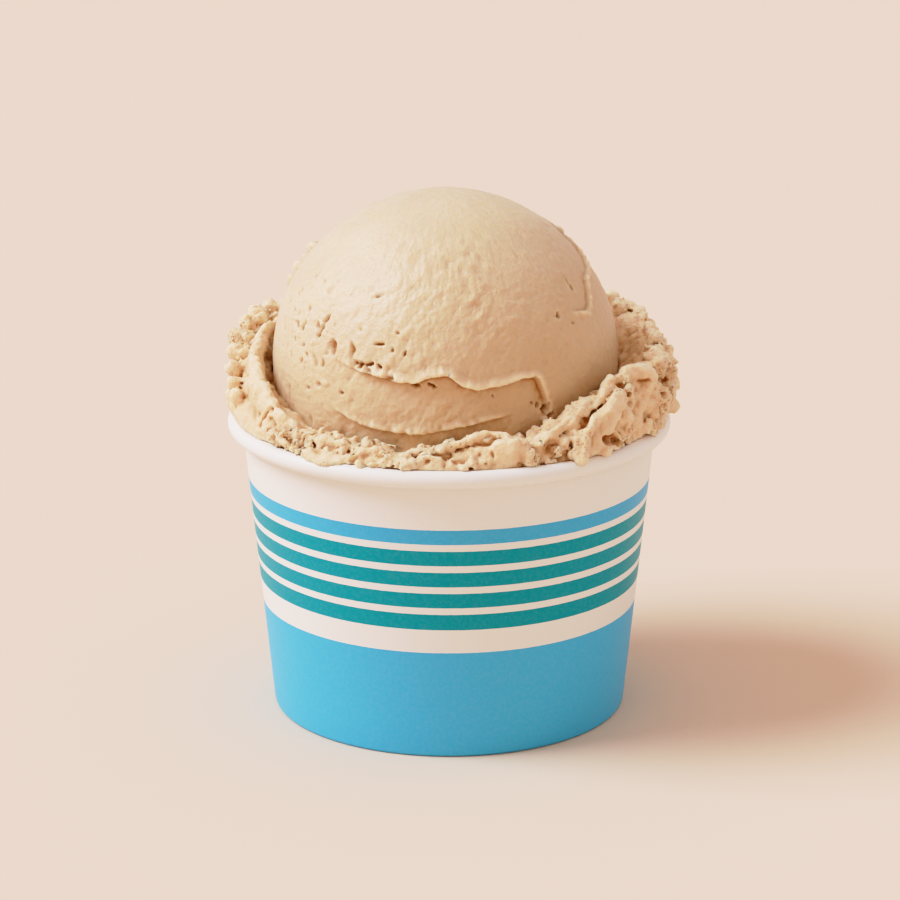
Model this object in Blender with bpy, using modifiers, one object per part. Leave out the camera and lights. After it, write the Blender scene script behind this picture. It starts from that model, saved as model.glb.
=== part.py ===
# Gelato cup: a small paper cup with a rolled rim, filled with gelato and topped by one large scoop.
#
# Run with: blender --background --python part.py, or from Blender's text editor.
# Units are metres, +Z is up, and the origin is the centre of the circle that the cup stands on.
# The side that faces the viewer is -Y. Angles go round +Z from +X, so the front is at 270 degrees.

import math
from bisect import bisect_right

import bmesh
import bpy
from mathutils import Matrix, Vector, noise

MM = 0.001

# Paper cup: the usual small gelato size, about 75 mm across the rim, 60 mm across the foot and 51 mm high.
FOOT_RADIUS = 30.0 * MM
WALL_FLARE = 0.0989
PAPER = 0.45 * MM
GAP = 0.3 * MM
CURL_RADIUS = 1.45 * MM
CURL_HEIGHT = 49.65 * MM
CURL_END_ANGLE = -118.0
RECESS = 6.0 * MM
FOLD_HEIGHT = 4.6 * MM
CORNER_RADIUS = 0.6 * MM
CUP_SEGMENTS = 56

# Scoop of gelato: a ball set a little to the left, sunk to below its equator in its own torn collar.
BALL_RADIUS = 29.0 * MM
BALL_CENTRE = Vector((-0.7 * MM, 0.0, 59.66 * MM))
GELATO_COLUMNS = 116
CAP_ROWS = 8
CAP_LATITUDE = 22.0
LEDGE_ROWS = 12
COLLAR_ROWS = 18
RIM_ROWS = 4
WALL_ROWS = 1

# The collar, by angle round the cup: (degrees, millimetres).
# Crest: how high its torn edge stands above the rim, and how far from the axis.
CREST_ABOVE_RIM = (
    (0, 16.2), (20, 16.8), (40, 15.8), (65, 14.0), (90, 13.0), (120, 13.6), (150, 14.4), (168, 13.8),
    (180, 11.8), (195, 8.2), (210, 5.8), (226, 3.2), (240, 2.5), (256, 2.5), (272, 3.6), (283, 5.2),
    (294, 4.4), (302, 6.4), (314, 9.0), (326, 12.2), (340, 15.2),
)
CREST_RADIUS = (
    (0, 34.8), (45, 34.8), (90, 34.2), (150, 34.6), (180, 35.0), (210, 33.0), (230, 31.6), (250, 31.0),
    (270, 31.0), (290, 31.4), (310, 32.8), (330, 34.2),
)
# Bulge: how far the outer face leans out over the rim.
BULGE_RADIUS = (
    (0, 38.0), (30, 37.6), (60, 37.0), (90, 36.8), (130, 36.8), (170, 37.6), (190, 37.4), (210, 36.6),
    (232, 36.0), (250, 35.2), (270, 34.8), (290, 35.0), (308, 36.4), (330, 37.4), (350, 38.0),
)
# Toe: where the outer face comes down on the rolled rim. It runs furthest out where it has melted.
TOE_RADIUS = (
    (0, 36.8), (30, 36.5), (90, 36.2), (150, 36.3), (190, 36.4), (208, 35.8), (218, 35.4), (229, 35.8),
    (236, 36.9), (244, 36.2), (258, 35.9), (270, 35.6), (283, 35.2), (296, 34.9), (304, 35.2), (310, 36.9),
    (317, 36.2), (340, 36.1),
)
# Crease: how far the groove between the collar and the ball reaches down from the crest.
CREASE_DEPTH = (
    (0, 5.5), (40, 5.0), (90, 4.0), (150, 4.0), (180, 3.4), (210, 1.6), (240, 0.9), (270, 1.0),
    (300, 1.2), (320, 2.6), (340, 4.8),
)
# Crags: rounded lumps of torn gelato, coarse where the collar stands tall and fine where it is low.
CRAG_HEIGHT = 3.0 * MM
CRAG_SIZE = 5.0 * MM
CRUMB_HEIGHT = 1.2 * MM
CRUMB_SIZE = 2.8 * MM
TALL_COLLAR = 9.0 * MM
BALL_CLEARANCE = 0.25 * MM

# Two ledges that the scoop dragged across the front of the ball: (azimuth, latitude) in degrees.
UPPER_LEDGE = (
    (218, 14.0), (234, 11.2), (248, 9.0), (263, 9.9), (272, 10.0), (281, 5.9), (291, 7.5), (302, 7.6), (309, 3.0),
)
LOWER_LEDGE = ((226, -2.0), (239, -5.3), (255, -8.4), (271, -8.4), (286, -6.0), (298, -3.5))
LEDGE_STEP = 0.75 * MM
LEDGE_REACH = 6.0
BALL_WAVE = 0.35 * MM
BALL_WAVE_SIZE = 14.0 * MM

PAPER_COLOUR = (0.86, 0.83, 0.78, 1.0)
BASE_COLOUR = (0.83, 0.79, 0.73, 1.0)
GELATO_COLOUR = (0.66, 0.44, 0.25, 1.0)


def clear_scene():
    for obj in list(bpy.data.objects):
        bpy.data.objects.remove(obj)


def make_material(name, colour, roughness):
    material = bpy.data.materials.new(name)
    material.use_nodes = True
    shader = material.node_tree.nodes["Principled BSDF"]
    shader.inputs["Base Color"].default_value = colour
    shader.inputs["Roughness"].default_value = roughness
    shader.inputs["Metallic"].default_value = 0.0
    return material


def add_object(name, mesh, material, collection):
    obj = bpy.data.objects.new(name, mesh)
    mesh.materials.append(material)
    collection.objects.link(obj)
    return obj


def wall_radius(height):
    """Middle of the paper of the cup's flaring side wall."""
    return FOOT_RADIUS - PAPER / 2 + WALL_FLARE * height


def inner_face(height):
    """Radius of what fits inside the wall with a small gap."""
    return wall_radius(height) - PAPER / 2 - GAP


def arc(centre, radius, start, end, count):
    """Points (radius, height) on an arc in the turning plane, from one angle in degrees to another."""
    points = []
    for i in range(count + 1):
        angle = math.radians(start + (end - start) * i / count)
        points.append((centre[0] + radius * math.cos(angle), centre[1] + radius * math.sin(angle)))
    return points


def turned_sheet(name, line, material, collection):
    """Paper turned about Z: an open line through the middle of the paper, given its thickness."""
    mesh = bpy.data.meshes.new(name)
    vertices = [(radius, 0.0, height) for radius, height in line]
    edges = [(i, i + 1) for i in range(len(line) - 1)]
    mesh.from_pydata(vertices, edges, [])
    obj = add_object(name, mesh, material, collection)
    turn = obj.modifiers.new("turn", "SCREW")
    turn.steps = CUP_SEGMENTS
    turn.render_steps = CUP_SEGMENTS
    turn.use_merge_vertices = True
    turn.merge_threshold = 0.01 * MM
    turn.use_smooth_shade = True
    sheet = obj.modifiers.new("paper", "SOLIDIFY")
    sheet.thickness = PAPER
    sheet.offset = 0.0
    sheet.use_even_offset = True
    return obj


def build_wall(material, collection):
    """The cup's side: rolled rim, flaring wall, and the foot turned in and up round the base's skirt."""
    curl_centre = (curl_axis_radius(), CURL_HEIGHT)
    curl = arc(curl_centre, CURL_RADIUS - PAPER / 2, CURL_END_ANGLE, 180.0, 9)
    fold_radius = inner_face(0.0) - PAPER - GAP - PAPER / 2
    floor = PAPER / 2
    outer_corner = (wall_radius(floor), floor)
    inner_corner = (fold_radius, floor)
    fold_top = (fold_radius + WALL_FLARE * FOLD_HEIGHT, FOLD_HEIGHT)
    line = curl + [outer_corner, inner_corner, fold_top]
    return turned_sheet("cup_wall", line, material, collection)


def build_base(material, collection):
    """The round base, set up inside the wall, with its skirt turned down into the folded foot."""
    skirt_end = PAPER + GAP
    skirt_radius = inner_face(skirt_end) - PAPER / 2
    skirt_top = skirt_radius + WALL_FLARE * (RECESS - skirt_end)
    corner = arc((skirt_top - CORNER_RADIUS, RECESS - CORNER_RADIUS), CORNER_RADIUS, 90.0, 0.0, 2)
    line = [(0.0, RECESS)] + corner + [(skirt_radius, skirt_end)]
    return turned_sheet("cup_base", line, material, collection)


def around(table, degrees):
    """Value at an angle from a table of (degrees, value) that closes on itself, eased between its entries."""
    degrees %= 360.0
    angles = [entry[0] for entry in table]
    after = bisect_right(angles, degrees) % len(table)
    before = after - 1
    span = (angles[after] - angles[before]) % 360.0
    share = ((degrees - angles[before]) % 360.0) / span
    ease = share * share * (3.0 - 2.0 * share)
    return table[before][1] + (table[after][1] - table[before][1]) * ease


def along(table, degrees):
    """Latitude of a ledge at an azimuth, or None beyond its ends."""
    for (left, low), (right, high) in zip(table, table[1:]):
        if left <= degrees <= right:
            share = (degrees - left) / (right - left)
            return low + (high - low) * share
    return None


def ledge_height(table, azimuth, latitude):
    """Relief of one ledge: it swells towards the dragged edge and drops sharply below it."""
    edge = along(table, azimuth)
    if edge is None:
        return 0.0
    ends = min(azimuth - table[0][0], table[-1][0] - azimuth)
    strength = min(1.0, ends / 8.0)
    above = latitude - edge
    if above >= 0.0:
        return LEDGE_STEP * strength * math.exp(-above / LEDGE_REACH)
    return -LEDGE_STEP * strength * math.exp(above / LEDGE_REACH)


def ball_point(azimuth, latitude):
    """A point on the scoop, in world space, with its slow waves and its two ledges."""
    a, b = math.radians(azimuth), math.radians(latitude)
    direction = Vector((math.cos(a) * math.cos(b), math.sin(a) * math.cos(b), math.sin(b)))
    wave = BALL_WAVE * noise.noise(direction * (BALL_RADIUS / BALL_WAVE_SIZE))
    relief = ledge_height(UPPER_LEDGE, azimuth % 360.0, latitude)
    relief += ledge_height(LOWER_LEDGE, azimuth % 360.0, latitude)
    return BALL_CENTRE + direction * (BALL_RADIUS + wave + relief)


def crag(point, strength):
    """Lumpiness of torn gelato: rounded crumbs of two sizes with sharp valleys between them."""
    large = noise.voronoi(point / CRAG_SIZE)[0][0]
    small = noise.voronoi(point / CRUMB_SIZE)[0][0]
    return CRAG_HEIGHT * strength * (0.4 - large) + CRUMB_HEIGHT * (0.4 - small)


def smooth_curve(points, share):
    """Catmull-Rom curve through (radius, height) points, share running from 0 to 1 along it."""
    position = share * (len(points) - 1)
    i = min(int(position), len(points) - 2)
    t = position - i
    before = points[max(i - 1, 0)]
    start, end = points[i], points[i + 1]
    after = points[min(i + 2, len(points) - 1)]
    result = []
    for p0, p1, p2, p3 in zip(before, start, end, after):
        slope_1, slope_2 = (p2 - p0) / 2, (p3 - p1) / 2
        value = (2 * t**3 - 3 * t**2 + 1) * p1 + (t**3 - 2 * t**2 + t) * slope_1
        value += (-2 * t**3 + 3 * t**2) * p2 + (t**3 - t**2) * slope_2
        result.append(value)
    return result


def curl_axis_radius():
    """Distance from the cup's axis to the middle of its rolled rim."""
    return wall_radius(CURL_HEIGHT) + CURL_RADIUS - PAPER / 2


def above_curl(radius):
    """Height that just clears the rolled rim at a distance from the cup's axis."""
    offset = radius - curl_axis_radius()
    return CURL_HEIGHT + math.sqrt((CURL_RADIUS + GAP) ** 2 - offset**2)


def crease_latitude(azimuth):
    """Latitude on the ball where the collar's inner side touches it."""
    crest = CURL_HEIGHT + CURL_RADIUS + around(CREST_ABOVE_RIM, azimuth) * MM
    height = crest - around(CREASE_DEPTH, azimuth) * MM
    return math.degrees(math.asin((height - BALL_CENTRE.z) / BALL_RADIUS))


def collar_outline(azimuth):
    """Control points (radius, height) of the collar, from the crease over the crest down to the toe."""
    rim_top = CURL_HEIGHT + CURL_RADIUS
    crest = rim_top + around(CREST_ABOVE_RIM, azimuth) * MM
    crest_radius = around(CREST_RADIUS, azimuth) * MM
    bulge_radius = around(BULGE_RADIUS, azimuth) * MM
    toe_radius = around(TOE_RADIUS, azimuth) * MM
    start = ball_point(azimuth, crease_latitude(azimuth))
    start_radius = math.hypot(start.x, start.y)
    rise = crest - start.z
    stand = crest - rim_top
    return [
        (start_radius, start.z),
        (start_radius + 0.35 * (crest_radius - start_radius), start.z + 0.45 * rise),
        (crest_radius - 0.3 * (bulge_radius - crest_radius), crest - 0.08 * rise),
        (crest_radius + 0.4 * (bulge_radius - crest_radius), crest - 0.12 * stand),
        (bulge_radius, rim_top + 0.55 * stand),
        (0.5 * (bulge_radius + toe_radius), rim_top + 0.25 * stand + GAP),
        (toe_radius, above_curl(toe_radius)),
    ]


def keep_off(centre, reach, position):
    """Move a position out to a reach from a centre if it is nearer than that."""
    offset = position - centre
    if offset.length < reach:
        return centre + offset.normalized() * reach
    return position


def collar_point(azimuth, share):
    """A point on the torn collar. Crags fade out at the crease and at the toe on the rim."""
    outline = collar_outline(azimuth)
    radius, height = smooth_curve(outline, share)
    next_radius, next_height = smooth_curve(outline, min(share + 0.01, 1.0))
    last_radius, last_height = smooth_curve(outline, max(share - 0.01, 0.0))
    across = Vector((last_height - next_height, 0.0, next_radius - last_radius)).normalized()
    turn = Matrix.Rotation(math.radians(azimuth), 3, "Z")
    point = turn @ Vector((radius, 0.0, height))
    strength = min(1.0, 0.35 + around(CREST_ABOVE_RIM, azimuth) * MM / TALL_COLLAR * 0.65)
    fade = min(1.0, share / 0.2, (1.0 - share) / 0.12)
    point += turn @ across * crag(point, strength) * fade
    rim_centre = turn @ Vector((curl_axis_radius(), 0.0, CURL_HEIGHT))
    point = keep_off(rim_centre, CURL_RADIUS + GAP, point)
    return keep_off(BALL_CENTRE, BALL_RADIUS + BALL_CLEARANCE * share / 0.2, point)


def rim_point(azimuth, share):
    """The underside of the collar, which follows the rolled rim inwards at a small gap."""
    reach = CURL_RADIUS + GAP
    toe = (around(TOE_RADIUS, azimuth) * MM - curl_axis_radius()) / reach
    start = math.acos(max(-1.0, min(1.0, toe)))
    angle = start + (math.pi - start) * share
    radius = curl_axis_radius() + reach * math.cos(angle)
    height = CURL_HEIGHT + reach * math.sin(angle)
    a = math.radians(azimuth)
    return Vector((radius * math.cos(a), radius * math.sin(a), height))


def wall_point(azimuth, share):
    """The side of the gelato inside the cup, down to the base."""
    bottom = RECESS + PAPER / 2 + GAP
    height = CURL_HEIGHT + (bottom - CURL_HEIGHT) * share
    radius = inner_face(height) - CORNER_RADIUS * (1.0 if share == 1.0 else 0.0)
    a = math.radians(azimuth)
    return Vector((radius * math.cos(a), radius * math.sin(a), height))


def gelato_point(azimuth, row):
    """A point of the gelato's surface: rows run from the top of the ball to the middle of the base."""
    if row <= CAP_ROWS:
        return ball_point(azimuth, 90.0 + (CAP_LATITUDE - 90.0) * row / CAP_ROWS)
    row -= CAP_ROWS
    if row <= LEDGE_ROWS:
        drop = crease_latitude(azimuth) - CAP_LATITUDE
        return ball_point(azimuth, CAP_LATITUDE + drop * row / LEDGE_ROWS)
    row -= LEDGE_ROWS
    if row <= COLLAR_ROWS:
        return collar_point(azimuth, row / COLLAR_ROWS)
    row -= COLLAR_ROWS
    if row <= RIM_ROWS:
        return rim_point(azimuth, row / RIM_ROWS)
    row -= RIM_ROWS
    return wall_point(azimuth, row / WALL_ROWS)


def build_gelato(material, collection):
    """One body: a sphere's grid of rows and columns, laid over the scoop, its collar and the fill below."""
    rows = CAP_ROWS + LEDGE_ROWS + COLLAR_ROWS + RIM_ROWS + WALL_ROWS + 1
    grid = bmesh.new()
    bmesh.ops.create_uvsphere(grid, u_segments=GELATO_COLUMNS, v_segments=rows, radius=1.0)
    for vertex in grid.verts:
        row = round(math.acos(max(-1.0, min(1.0, vertex.co.z))) / math.pi * rows)
        if row == 0:
            vertex.co = ball_point(0.0, 90.0)
        elif row == rows:
            vertex.co = Vector((0.0, 0.0, RECESS + PAPER / 2 + GAP))
        else:
            azimuth = math.degrees(math.atan2(vertex.co.y, vertex.co.x)) % 360.0
            vertex.co = gelato_point(azimuth, row)
    bmesh.ops.recalc_face_normals(grid, faces=grid.faces)
    mesh = bpy.data.meshes.new("gelato")
    grid.to_mesh(mesh)
    grid.free()
    mesh.shade_smooth()
    return add_object("gelato", mesh, material, collection)


def main():
    clear_scene()
    collection = bpy.data.collections.new("gelato_cup")
    bpy.context.scene.collection.children.link(collection)
    paper = make_material("printed_paper", PAPER_COLOUR, 0.45)
    base_paper = make_material("base_paper", BASE_COLOUR, 0.5)
    gelato = make_material("gelato", GELATO_COLOUR, 0.5)
    build_wall(paper, collection)
    build_base(base_paper, collection)
    build_gelato(gelato, collection)


main()
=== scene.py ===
# %% [markdown]
# # Gelato cup
#
# A small paper cup holds gelato, and one large scoop sits on top. Where the scoop was pressed in, the
# gelato under it was squeezed up round the ball and tore, which leaves a ragged collar on the rim.
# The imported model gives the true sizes. This script replaces its plain solids with finished pieces:
# the scoop, the torn collar, the printed cup and its base. Everything is sculpted in millimetres and
# turned to metres when a mesh is made. The front of the cup faces -Y, and angles go round +Z from +X.

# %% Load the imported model
import math

import bpy
import numpy as np
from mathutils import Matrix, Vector


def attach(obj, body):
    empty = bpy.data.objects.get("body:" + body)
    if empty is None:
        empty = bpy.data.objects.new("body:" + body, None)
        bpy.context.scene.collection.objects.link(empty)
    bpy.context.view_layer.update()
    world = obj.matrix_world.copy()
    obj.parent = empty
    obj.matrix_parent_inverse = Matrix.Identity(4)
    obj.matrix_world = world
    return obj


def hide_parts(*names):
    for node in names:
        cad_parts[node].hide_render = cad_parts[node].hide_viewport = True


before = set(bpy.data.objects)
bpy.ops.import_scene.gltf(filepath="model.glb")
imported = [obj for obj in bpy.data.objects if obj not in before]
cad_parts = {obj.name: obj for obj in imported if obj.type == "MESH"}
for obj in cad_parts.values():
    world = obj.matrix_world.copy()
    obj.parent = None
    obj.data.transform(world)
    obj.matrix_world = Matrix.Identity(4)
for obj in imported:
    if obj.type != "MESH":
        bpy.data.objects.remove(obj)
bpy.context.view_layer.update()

MM = 0.001
scene = bpy.context.scene

# %% [markdown]
# ## Sizes
#
# The cup is the common small gelato size. Its wall flares, its rim is rolled outwards, and its base is
# set up inside the foot. The scoop is a ball whose centre lies above the rim and a little to the left.
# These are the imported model's own values, so that each piece takes its node's place.

# %% Driving sizes in millimetres
FOOT_RADIUS = 30.0
WALL_FLARE = 0.0989
PAPER = 0.45
GAP = 0.3
CURL_RADIUS = 1.45
CURL_HEIGHT = 49.65
RIM_TOP = CURL_HEIGHT + CURL_RADIUS
CURL_AXIS = FOOT_RADIUS - PAPER + WALL_FLARE * CURL_HEIGHT + CURL_RADIUS
RECESS = 6.0
BALL_RADIUS = 29.0
BALL_CENTRE = np.array([-0.7, 0.0, 59.66])
print("rim, mm across:", round(2 * (CURL_AXIS + CURL_RADIUS), 1), "scoop, mm across:", 2 * BALL_RADIUS)

# %% [markdown]
# ## Small tools
#
# A few helpers serve the whole script. A colour is written as the hex value that a paint program shows
# and becomes the linear value that the renderer wants. A finished mesh is hung on the cup's root, and the
# node of the imported model that it stands for is hidden. A node is added to a material or to a Geometry
# Nodes tree with its settings and its links in one call, and short forms of that call give the nodes that
# come up often.

# %% Colour, mesh and node helpers
def eased(share):
    """A share from 0 to 1 with a gentle start and a gentle end."""
    return share * share * (3 - 2 * share)


def colour(hex_value):
    """Linear colour from an sRGB hex value such as F0E0C8."""
    channels = [int(hex_value[i:i + 2], 16) / 255 for i in (0, 2, 4)]
    linear = [c / 12.92 if c <= 0.04045 else ((c + 0.055) / 1.055) ** 2.4 for c in channels]
    return (*linear, 1.0)


def add_mesh(name, points, faces, edges=()):
    """A smooth-shaded mesh object from points in millimetres."""
    mesh = bpy.data.meshes.new(name)
    mesh.from_pydata((points * MM).tolist(), list(edges), faces)
    mesh.shade_smooth()
    piece = bpy.data.objects.new(name, mesh)
    scene.collection.objects.link(piece)
    return piece


def declare(piece, node):
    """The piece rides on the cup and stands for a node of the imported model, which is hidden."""
    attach(piece, "root")
    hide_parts(node)
    print(piece.name, "triangles:", sum(len(face.vertices) - 2 for face in piece.data.polygons))


def add_node(tree, kind, settings=None, inputs=None):
    """Add a node. An input that is given as a socket is linked, and any other value is set."""
    node = tree.nodes.new(kind)
    for name, value in (settings or {}).items():
        setattr(node, name, value)
    for name, value in (inputs or {}).items():
        if isinstance(value, bpy.types.NodeSocket):
            tree.links.new(value, node.inputs[name])
        else:
            node.inputs[name].default_value = value
    return node


def computed(tree, operation, *values):
    """The result of one sum on numbers."""
    terms = dict(enumerate(values))
    return add_node(tree, "ShaderNodeMath", {"operation": operation}, terms).outputs["Value"]


def share_between(tree, value, low, high, most=1.0):
    """0 where the value is at the low end, and the most where it is at the high end."""
    limits = {"Value": value, "From Min": low, "From Max": high, "To Max": most}
    return add_node(tree, "ShaderNodeMapRange", inputs=limits).outputs["Result"]


def texture_noise(tree, place, scale, detail):
    """Smooth noise in space, from 0 to 1. The scale is in lumps per metre."""
    inputs = {"Vector": place, "Scale": scale, "Detail": detail}
    return add_node(tree, "ShaderNodeTexNoise", inputs=inputs).outputs["Fac"]


def relief_of(tree, height, depth, below=None, strength=1.0):
    """Relief for the shading, with its depth in millimetres, laid over the relief below it."""
    inputs = {"Height": height, "Strength": strength, "Distance": depth * MM}
    bump = add_node(tree, "ShaderNodeBump", inputs=inputs)
    if below:
        tree.links.new(below, bump.inputs["Normal"])
    return bump.outputs["Normal"]


def blend_colours(tree, share, first, second):
    """Mix two colours, each given as a hex value or as a socket."""
    ends = {"Factor": share, "A": first, "B": second}
    for label in "AB":
        if isinstance(ends[label], str):
            ends[label] = colour(ends[label])
    return add_node(tree, "ShaderNodeMix", {"data_type": "RGBA"}, ends).outputs["Result"]


def new_material(name, settings):
    """A material whose shader has some settings. It comes with its tree and its shader."""
    material = bpy.data.materials.new(name)
    material.use_nodes = True
    shader = material.node_tree.nodes["Principled BSDF"]
    for label, value in settings.items():
        shader.inputs[label].default_value = value
    return material, material.node_tree, shader


# %% [markdown]
# ## Noise
#
# Gelato is never smooth up close: ice crystals, trapped air and the drag of the scoop leave relief at
# every scale. Smooth lattice noise gives that relief. Each corner of a lattice holds a fixed random
# direction, and a point blends the slopes of the eight corners round it. The random tables are seeded,
# so each run gives the same surface.

# %% Lattice noise
SEED_SPACING = 17.31
NOISE_GAIN = 1.6

random = np.random.default_rng(7)
SLOPES = random.normal(size=(256, 3))
SLOPES /= np.linalg.norm(SLOPES, axis=1, keepdims=True)
ORDER = random.permutation(256)


def noise(points, size, seed=0):
    """Smooth noise from about -1 to 1 at points, with lumps of the given size in the points' unit."""
    scaled = points / size + seed * SEED_SPACING
    cell = np.floor(scaled).astype(int)
    part = scaled - cell
    ease = eased(part)
    total = np.zeros(len(points))
    for corner in np.ndindex(2, 2, 2):
        x, y, z = ((cell + corner) & 255).T
        slope = SLOPES[ORDER[(ORDER[(ORDER[x] + y) & 255] + z) & 255]]
        weight = np.prod(np.where(corner, ease, 1 - ease), axis=1)
        total += weight * np.sum(slope * (part - corner), axis=1)
    return NOISE_GAIN * total


def layered(points, size, layers, seed=0):
    """Noise at several scales, each half as large and half as strong as the one before."""
    return sum(noise(points, size / 2**i, seed + i) / 2**i for i in range(layers))


# %% [markdown]
# ## The scoop's grid
#
# The ball is a grid of rows and columns like a globe's. Its front and its lower half carry the detail
# that the viewer sees, so columns crowd towards the front and rows towards the ledges. Below the
# collar the same grid runs on down inside the cup as a plain fill, which closes the solid.

# %% Rows and columns of the scoop
SCOOP_COLUMNS = 580
FRONT_CROWDING = 0.6
CAP_ROWS = 34
DETAIL_ROWS = 132
CAP_EDGE = 40.0
SCOOP_LOWEST = -20.0

turn = np.linspace(-math.pi, math.pi, SCOOP_COLUMNS, endpoint=False)
columns = np.radians(270.0) + turn - FRONT_CROWDING * np.sin(turn)
cap = np.linspace(90.0, CAP_EDGE, CAP_ROWS + 1)[1:]
detail = np.linspace(CAP_EDGE, SCOOP_LOWEST, DETAIL_ROWS + 1)[1:]
rows = np.radians(np.concatenate([cap, detail]))


def ball_direction(azimuth, latitude):
    """Unit vectors from the ball's centre, from angles in radians."""
    flat = np.cos(latitude)
    return np.stack([flat * np.cos(azimuth), flat * np.sin(azimuth), np.sin(latitude)], axis=-1)


azimuth_grid, latitude_grid = np.meshgrid(columns, rows)
outward = ball_direction(azimuth_grid, latitude_grid).reshape(-1, 3)
surface = outward * BALL_RADIUS
print("scoop grid:", len(rows), "rows by", SCOOP_COLUMNS, "columns")

# %% [markdown]
# ## Ledges
#
# A scoop is rolled through the tub, and each pass lays down a sheet of gelato. Where a sheet ends, a
# thin pale lip overhangs the ball below. Three such lips show here: one across the front that turns
# down at its right end, a lower one with a beaded edge, and the edge of a flap on the right. One more
# is guessed at the back. Each is a line drawn on the ball in (azimuth, latitude) degrees, with its
# raised side on the left as it runs. The drop below the edge, the bead along it and the hang over it
# are in millimetres, and so are the lengths over which a lip grows in and dies out.

# %% Lines of the ledges
FRONT_LIP = [
    (225.5, 12.9), (231, 12.2), (237.5, 11.2), (245.8, 9.9), (254.8, 8.8), (259.8, 8.2), (263.3, 9.9),
    (267.8, 10.9), (271.4, 11.2), (273.6, 9.6), (275.8, 7.4), (280.6, 6.2), (285.2, 6.9), (290, 7.8),
    (295, 8.3), (300.6, 8.7), (302.3, 7.2), (303.6, 4.2), (304.8, 0.6), (306.2, -3.6), (307.5, -7),
]
LOWER_LIP = [
    (228, -2), (233.2, -4.3), (237.8, -6.3), (243.3, -7.5), (248.6, -8.3), (255.4, -9), (262, -9),
    (268.5, -7.8), (274.9, -6.5), (281.3, -5.4), (286.9, -4.4), (293, -3.5),
]
FLAP_EDGE = [
    (18, 56), (14.6, 50.8), (12.2, 46.3), (10.8, 43.5), (9.2, 39.7), (1.5, 37.3), (351.6, 34.7),
    (342.5, 33.2), (339.5, 30), (334, 25.4), (331.6, 24.2), (326, 24.8), (319, 26.3),
]
BACK_LIP = [
    (30, 36), (38, 35.5), (46, 32), (55, 31.5), (64, 28.5), (71, 24), (80, 23.2), (88, 21.5), (95, 17),
    (104, 15.8), (113, 14), (121, 9.5), (130, 8), (139, 8.8),
]
LEDGES = [
    (FRONT_LIP, {"drop": 1.25, "reach": 7.0, "bead": 0.7, "hang": 0.6, "beads": 0.3, "start": 18.0,
                 "bead_end": 15.0, "seed": 3}),
    (LOWER_LIP, {"drop": 0.7, "reach": 5.0, "bead": 0.45, "hang": 0.25, "beads": 0.8, "seed": 11}),
    (FLAP_EDGE, {"drop": 0.3, "reach": 6.0, "bead": 0.42, "hang": 0.1, "beads": 1.0, "seed": 19}),
    (BACK_LIP, {"drop": 1.1, "reach": 7.0, "bead": 0.6, "hang": 0.4, "beads": 0.4, "end": 8.0, "seed": 27}),
]
STRAY, STRAY_SIZE = 0.22, 2.2
DROP_WIDTH = 0.3
LIFT_SHARE, LIFT_REACH = 0.25, 2.5
BEAD_AT, BEAD_WIDTH = 0.4, 0.42
HANG_AT, HANG_WIDTH = 0.25, 0.45
BEAD_MEAN, BEAD_SWING, BEAD_SWING_SIZE, BEADS_SIZE = 0.75, 0.35, 2.6, 1.0


def edge_frame(line):
    """Signed distance of each surface point to a line on the ball, its place along it, and its left."""
    turns = np.unwrap(np.radians([azimuth for azimuth, _ in line]))
    knots = ball_direction(turns, np.radians([latitude for _, latitude in line])) * BALL_RADIUS
    starts, steps = knots[:-1], np.diff(knots, axis=0)
    lengths = np.linalg.norm(steps, axis=1)
    travelled = np.concatenate([[0], np.cumsum(lengths)[:-1]])
    nearest = np.full(len(surface), np.inf)
    signed, place, left = nearest.copy(), np.zeros(len(surface)), np.zeros_like(surface)
    for start, step, length, before in zip(starts, steps, lengths, travelled):
        along = step / length
        across = np.cross(start / BALL_RADIUS, along)
        offset = surface - start
        reach = np.clip(offset @ along, 0, length)
        distance = np.linalg.norm(offset - reach[:, None] * along, axis=1)
        closer = distance < nearest
        side = np.where(offset @ across >= 0, 1.0, -1.0)
        nearest[closer] = distance[closer]
        signed[closer] = (distance * side)[closer]
        place[closer] = (before + reach)[closer]
        left[closer] = across
    return signed, place, left, travelled[-1] + lengths[-1]


def taper(place, length, start, end):
    """Strength from 0 to 1 that grows in over the first millimetres of a line and dies out at its end."""
    return eased(np.clip(place / start, 0, 1)) * eased(np.clip((length - place) / end, 0, 1))


def ledge(line, drop, reach, bead, hang, beads=0.0, start=6.0, end=4.0, bead_end=4.0, seed=0):
    """Relief and sideways shift of one lip: raised on its left, dropped on its right, with a pale bead."""
    signed, place, left, length = edge_frame(line)
    signed = signed + STRAY * layered(surface, STRAY_SIZE, 2, seed)
    strength = taper(place, length, start, end)
    low = -drop * np.exp(np.minimum(signed, 0) / reach) * np.clip(-signed / DROP_WIDTH, 0, 1)
    lift = LIFT_SHARE * drop * np.exp(-np.maximum(signed, 0) / LIFT_REACH) * (signed > 0)
    wobble = BEAD_MEAN + BEAD_SWING * noise(surface, BEAD_SWING_SIZE, seed + 5)
    wobble = wobble + beads * noise(surface, BEADS_SIZE, seed + 6)
    ridge = bead * wobble * np.exp(-(((signed - BEAD_AT) / BEAD_WIDTH) ** 2))
    shift = hang * np.exp(-(((signed - HANG_AT) / HANG_WIDTH) ** 2))
    beaded = taper(place, length, start, bead_end)
    return strength * low + beaded * (lift + ridge), -left * (beaded * shift)[:, None]


ledge_reliefs, ledge_shifts = zip(*[ledge(line, **settings) for line, settings in LEDGES])
print("deepest ledge, mm:", round(float(-min(relief.min() for relief in ledge_reliefs)), 2))
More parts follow.
